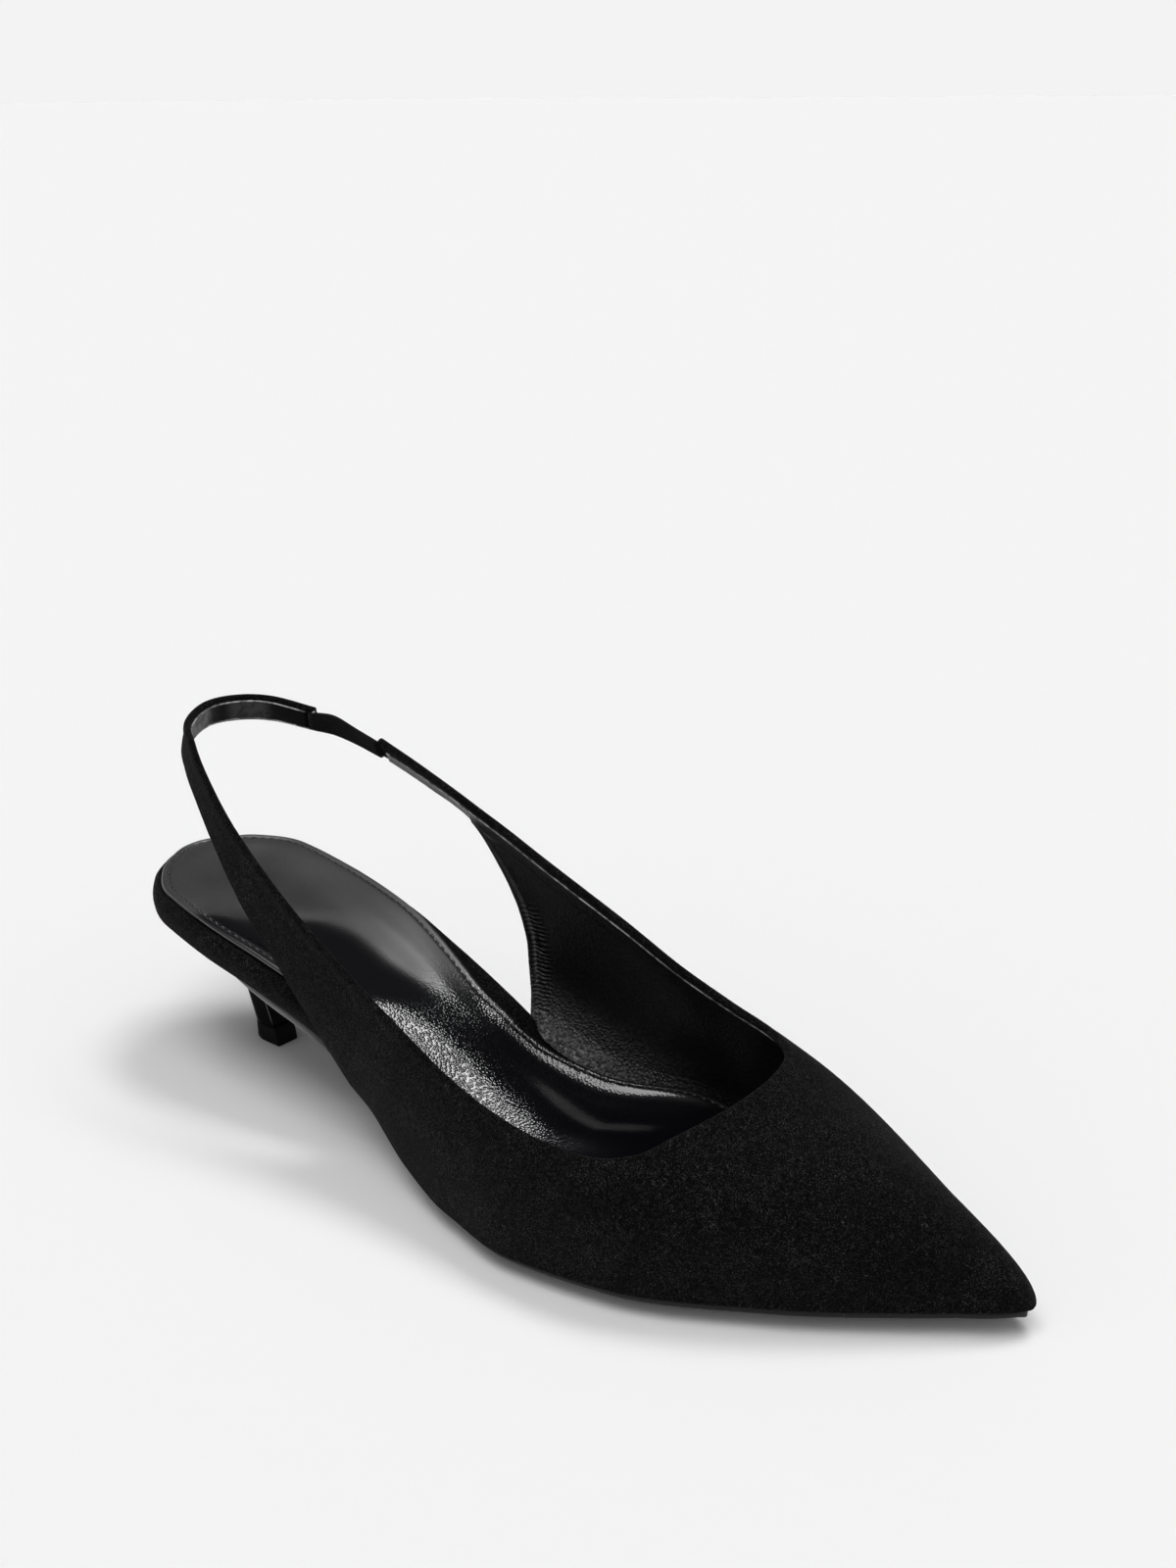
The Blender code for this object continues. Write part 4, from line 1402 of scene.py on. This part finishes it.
def outsole(bottom, edge):
    """Thin sole with a rounded edge, a highlight painted pale on it."""
    place = np.linspace(turn(BREAST_X, UPPER_TIP_X), SOLE_END, SOLE_SECTIONS)
    round_edge = np.radians(np.linspace(0.0, 90.0, ROUND_STEPS))
    flat = np.linspace(-1.0, 1.0, SOLE_ACROSS)
    half_thick = SOLE_THICK / 2.0
    rings = []
    for x in station(place, UPPER_TIP_X):
        wide = sole_half(x)
        corner = min(half_thick, SOLE_CORNER_SHARE * wide)
        inner = wide - corner
        low_y = np.concatenate([
            -inner - corner * np.cos(round_edge)[:-1],
            inner * flat,
            inner + corner * np.cos(round_edge[::-1])[1:],
        ])
        drop = np.concatenate([np.sin(round_edge)[:-1], np.ones(SOLE_ACROSS), np.sin(round_edge[::-1])[1:]])
        y = middle(x) + low_y
        mid = board_under(x, y) - GAP - half_thick
        under = np.column_stack([np.full(len(y), x), y, mid - half_thick * drop])
        over = np.column_stack([np.full(len(y), x), y, mid + half_thick * drop])
        rings.append(np.concatenate([under, over[-2:0:-1]]))
    solid = lath(rings)
    per_half = len(rings[0])
    faces = solid[1]
    inset_start = ROUND_STEPS - 1
    inset_end = inset_start + SOLE_ACROSS - 1
    index = []
    for number in range(len(faces)):
        k = number % per_half
        on_edge = not (inset_start <= k < inset_end)
        index.append(int(on_edge and number < per_half * (len(rings) - 1)))
    # Highlight painted pale on the edge, strongest at the waist
    marks = {"edge_highlight": curve(EDGE_HIGHLIGHT, solid[0][:, 0])}
    add_piece("sole", solid, [bottom, edge], ["outsole"], index, marks)


def tucked(line):
    """A line in space with both its ends run on a little."""
    first = line[0] - line[1]
    last = line[-1] - line[-2]
    return np.concatenate([
        [line[0] + first * ELASTIC_TUCK / np.linalg.norm(first)],
        line,
        [line[-1] + last * ELASTIC_TUCK / np.linalg.norm(last)],
    ])


def elastic_band(surface):
    """Ribbed elastic between the strap's end and the stub's end, tucked a little into both."""
    share = np.linspace(0.0, 1.0, ELASTIC_SECTIONS)
    low = tucked(line_through(ELASTIC, share))
    top = tucked(line_through(ELASTIC, share, 4))
    out = np.cross(np.gradient(low + top, axis=0), top - low)
    out /= np.linalg.norm(out, axis=1, keepdims=True)
    wide = np.linspace(ELASTIC_INSET, 1.0 - ELASTIC_INSET, ELASTIC_ACROSS)
    off_middle = wide - 0.5
    rib = RIB_HIGH * (0.5 + 0.5 * np.cos(2.0 * math.pi * RIBS * off_middle))
    rounded = np.sqrt(np.clip(1.0 - (off_middle / off_middle[-1]) ** RIB_EDGE_POWER, 0.0, 1.0))
    thick = (ELASTIC_THICK - RIB_HIGH + rib) * rounded
    rings = []
    for i in range(len(low)):
        base = low[i] + (top[i] - low[i]) * wide[:, None]
        front = base + out[i] * thick[:, None]
        rings.append(np.concatenate([base, front[-2:0:-1]]))
    add_piece("elastic_band", lath(rings), [surface], ["elastic"])


def heel_stem(surface):
    """Stem of the heel, with crisp ridges beside its flat breast."""
    high = np.linspace(HEEL[0, 0], HEEL[-1, 0], HEEL_LEVELS)
    rows = np.column_stack([high] + [curve(HEEL, high, i) for i in (1, 2, 3)])
    rings = heel_rings(rows, HEEL_STEPS)
    top = rings[-1]
    lift = board_under(top[:, 0], top[:, 1]) - GAP - HEEL[-1, 0]
    for ring, height in zip(rings, high):
        share = smooth(height, HEEL[-3, 0], HEEL[-1, 0])
        ring[:, 2] += share * lift
    # Highlight painted pale along the heel's lateral ridge
    wear_and_highlight = np.zeros((HEEL_LEVELS, len(top)))
    lateral_ridge = HEEL_STEPS + 2 * (len(HEEL_RIDGE) - 1)
    wear_and_highlight[:, lateral_ridge] = between(high, RIDGE_HIGHLIGHT_LOW, RIDGE_HIGHLIGHT_HIGH)
    add_piece("heel_stem", stack(rings), [surface], ["heel"], marks={"wear_and_highlight": wear_and_highlight.ravel()})


def heel_tip(surface):
    """Rubber top piece under the stem."""
    rows = []
    for height, grow in TIP_ROUNDING:
        rear, breast, half = (curve(TOP_PIECE, height, i) for i in (1, 2, 3))
        rows.append((height, rear - grow, breast + grow, half + grow))
    add_piece("heel_tip", stack(heel_rings(rows, HEEL_STEPS)), [surface], ["top_piece"])


def floor():
    mesh = bpy.data.meshes.new("floor")
    corners = [(-1, -1, 0), (1, -1, 0), (1, 1, 0), (-1, 1, 0)]
    mesh.from_pydata([tuple(FLOOR_REACH * c for c in corner) for corner in corners], [], [(0, 1, 2, 3)])
    surface = Surface("floor", grey(FLOOR_ALBEDO), 1.0, Specular_IOR_Level=0.0)
    mesh.materials.append(surface.material)
    obj = bpy.data.objects.new("floor", mesh)
    bpy.context.scene.collection.objects.link(obj)


def studio_light():
    """Soft studio: a broad light overhead, two soft boxes and a darker ground behind a pale sweep."""
    world = bpy.data.worlds.new("studio")
    bpy.context.scene.world = world
    world.use_nodes = True
    sky = Nodes(world.node_tree)
    ahead = sky.node("ShaderNodeTexCoord").outputs["Generated"]

    def toward(bearing, elevation):
        made = sky.node("ShaderNodeVectorMath")
        made.operation = "DOT_PRODUCT"
        made.inputs[1].default_value = turned([aimed(bearing, elevation)])[0]
        sky.link(ahead, made.inputs[0])
        return made.outputs["Value"]

    def within(value, half):
        edge = math.sin(math.radians(half))
        return sky.ramp(sky.math("ABSOLUTE", value), 1.0, 0.0, edge - BOX_SOFT, edge + BOX_SOFT)

    height = toward(0.0, 90.0)
    near = toward(CAMERA_BEARING, 0.0)
    sides = []
    for column, far_share, near_share in ((1, 1.0, 0.0), (2, 0.0, 1.0)):
        band = sky.node("ShaderNodeValToRGB")
        elements = band.color_ramp.elements
        band.color_ramp.interpolation = "EASE"
        while len(elements) < len(STUDIO):
            elements.new(0.5)
        for element, row in zip(elements, STUDIO):
            element.position = row[0]
            element.color = (*grey(row[column]), 1.0)
        sky.link(height, band.inputs["Fac"])
        share = sky.ramp(near, far_share, near_share, -SIDE_SOFT, SIDE_SOFT)
        sides.append(sky.math("MULTIPLY", band.outputs["Color"], share))
    total = sky.math("ADD", *sides)
    for bearing, elevation, half_wide, half_high, brightness in SOFT_BOXES:
        wide = within(toward(bearing + 90.0, 0.0), half_wide)
        high = within(toward(bearing, elevation + 90.0), half_high)
        front = sky.ramp(toward(bearing, elevation), 0.0, brightness, 0.0, BOX_FRONT)
        lit = sky.math("MULTIPLY", sky.math("MULTIPLY", wide, high), front)
        total = sky.math("ADD", total, lit)
    seen = sky.node("ShaderNodeLightPath").outputs["Is Camera Ray"]
    colour = sky.mix(seen, total, grey(STUDIO[0][1]))
    sky.link(colour, sky.tree.nodes["Background"].inputs["Color"])


def camera():
    """Camera at the photo's viewing angle."""
    back = aimed(CAMERA_BEARING, CAMERA_RISE)
    right = aimed(CAMERA_BEARING + 90.0, 0.0)
    up = np.cross(back, right)
    roll = math.radians(CAMERA_ROLL)
    c, s = math.cos(roll), math.sin(roll)
    axes = np.array([c * right + s * up, c * up - s * right, back])
    data = bpy.data.cameras.new("camera")
    data.sensor_width = SENSOR
    data.lens = SENSOR * FOCAL_PIXELS / IMAGE_HIGH
    data.clip_start = CLIP_START
    data.clip_end = CLIP_FLOORS * FLOOR_REACH
    obj = bpy.data.objects.new("camera", data)
    bpy.context.scene.collection.objects.link(obj)
    matrix = np.eye(4)
    matrix[:3, :3] = turned(axes).T
    matrix[:3, 3] = to_frame(np.array([CAMERA_TARGET]) + CAMERA_AWAY * back)[0]
    obj.matrix_world = Matrix(matrix.tolist())
    bpy.context.scene.camera = obj


def main():
    wall = whole_wall()
    suede = suede_surface()
    upper_suede(wall, suede)
    lining(wall, lining_surface(), strap_lining_surface())
    lining_bead(wall, edge_surface())
    covered_board(suede)
    insole_sock(sock_surface())
    sock_stitches(thread_surface())
    outsole(sole_surface(), sole_edge_surface())
    elastic_band(elastic_surface())
    heel_stem(lacquer_surface())
    heel_tip(rubber_surface())
    floor()
    studio_light()
    camera()
    bpy.context.scene.view_settings.view_transform = "Standard"


main()
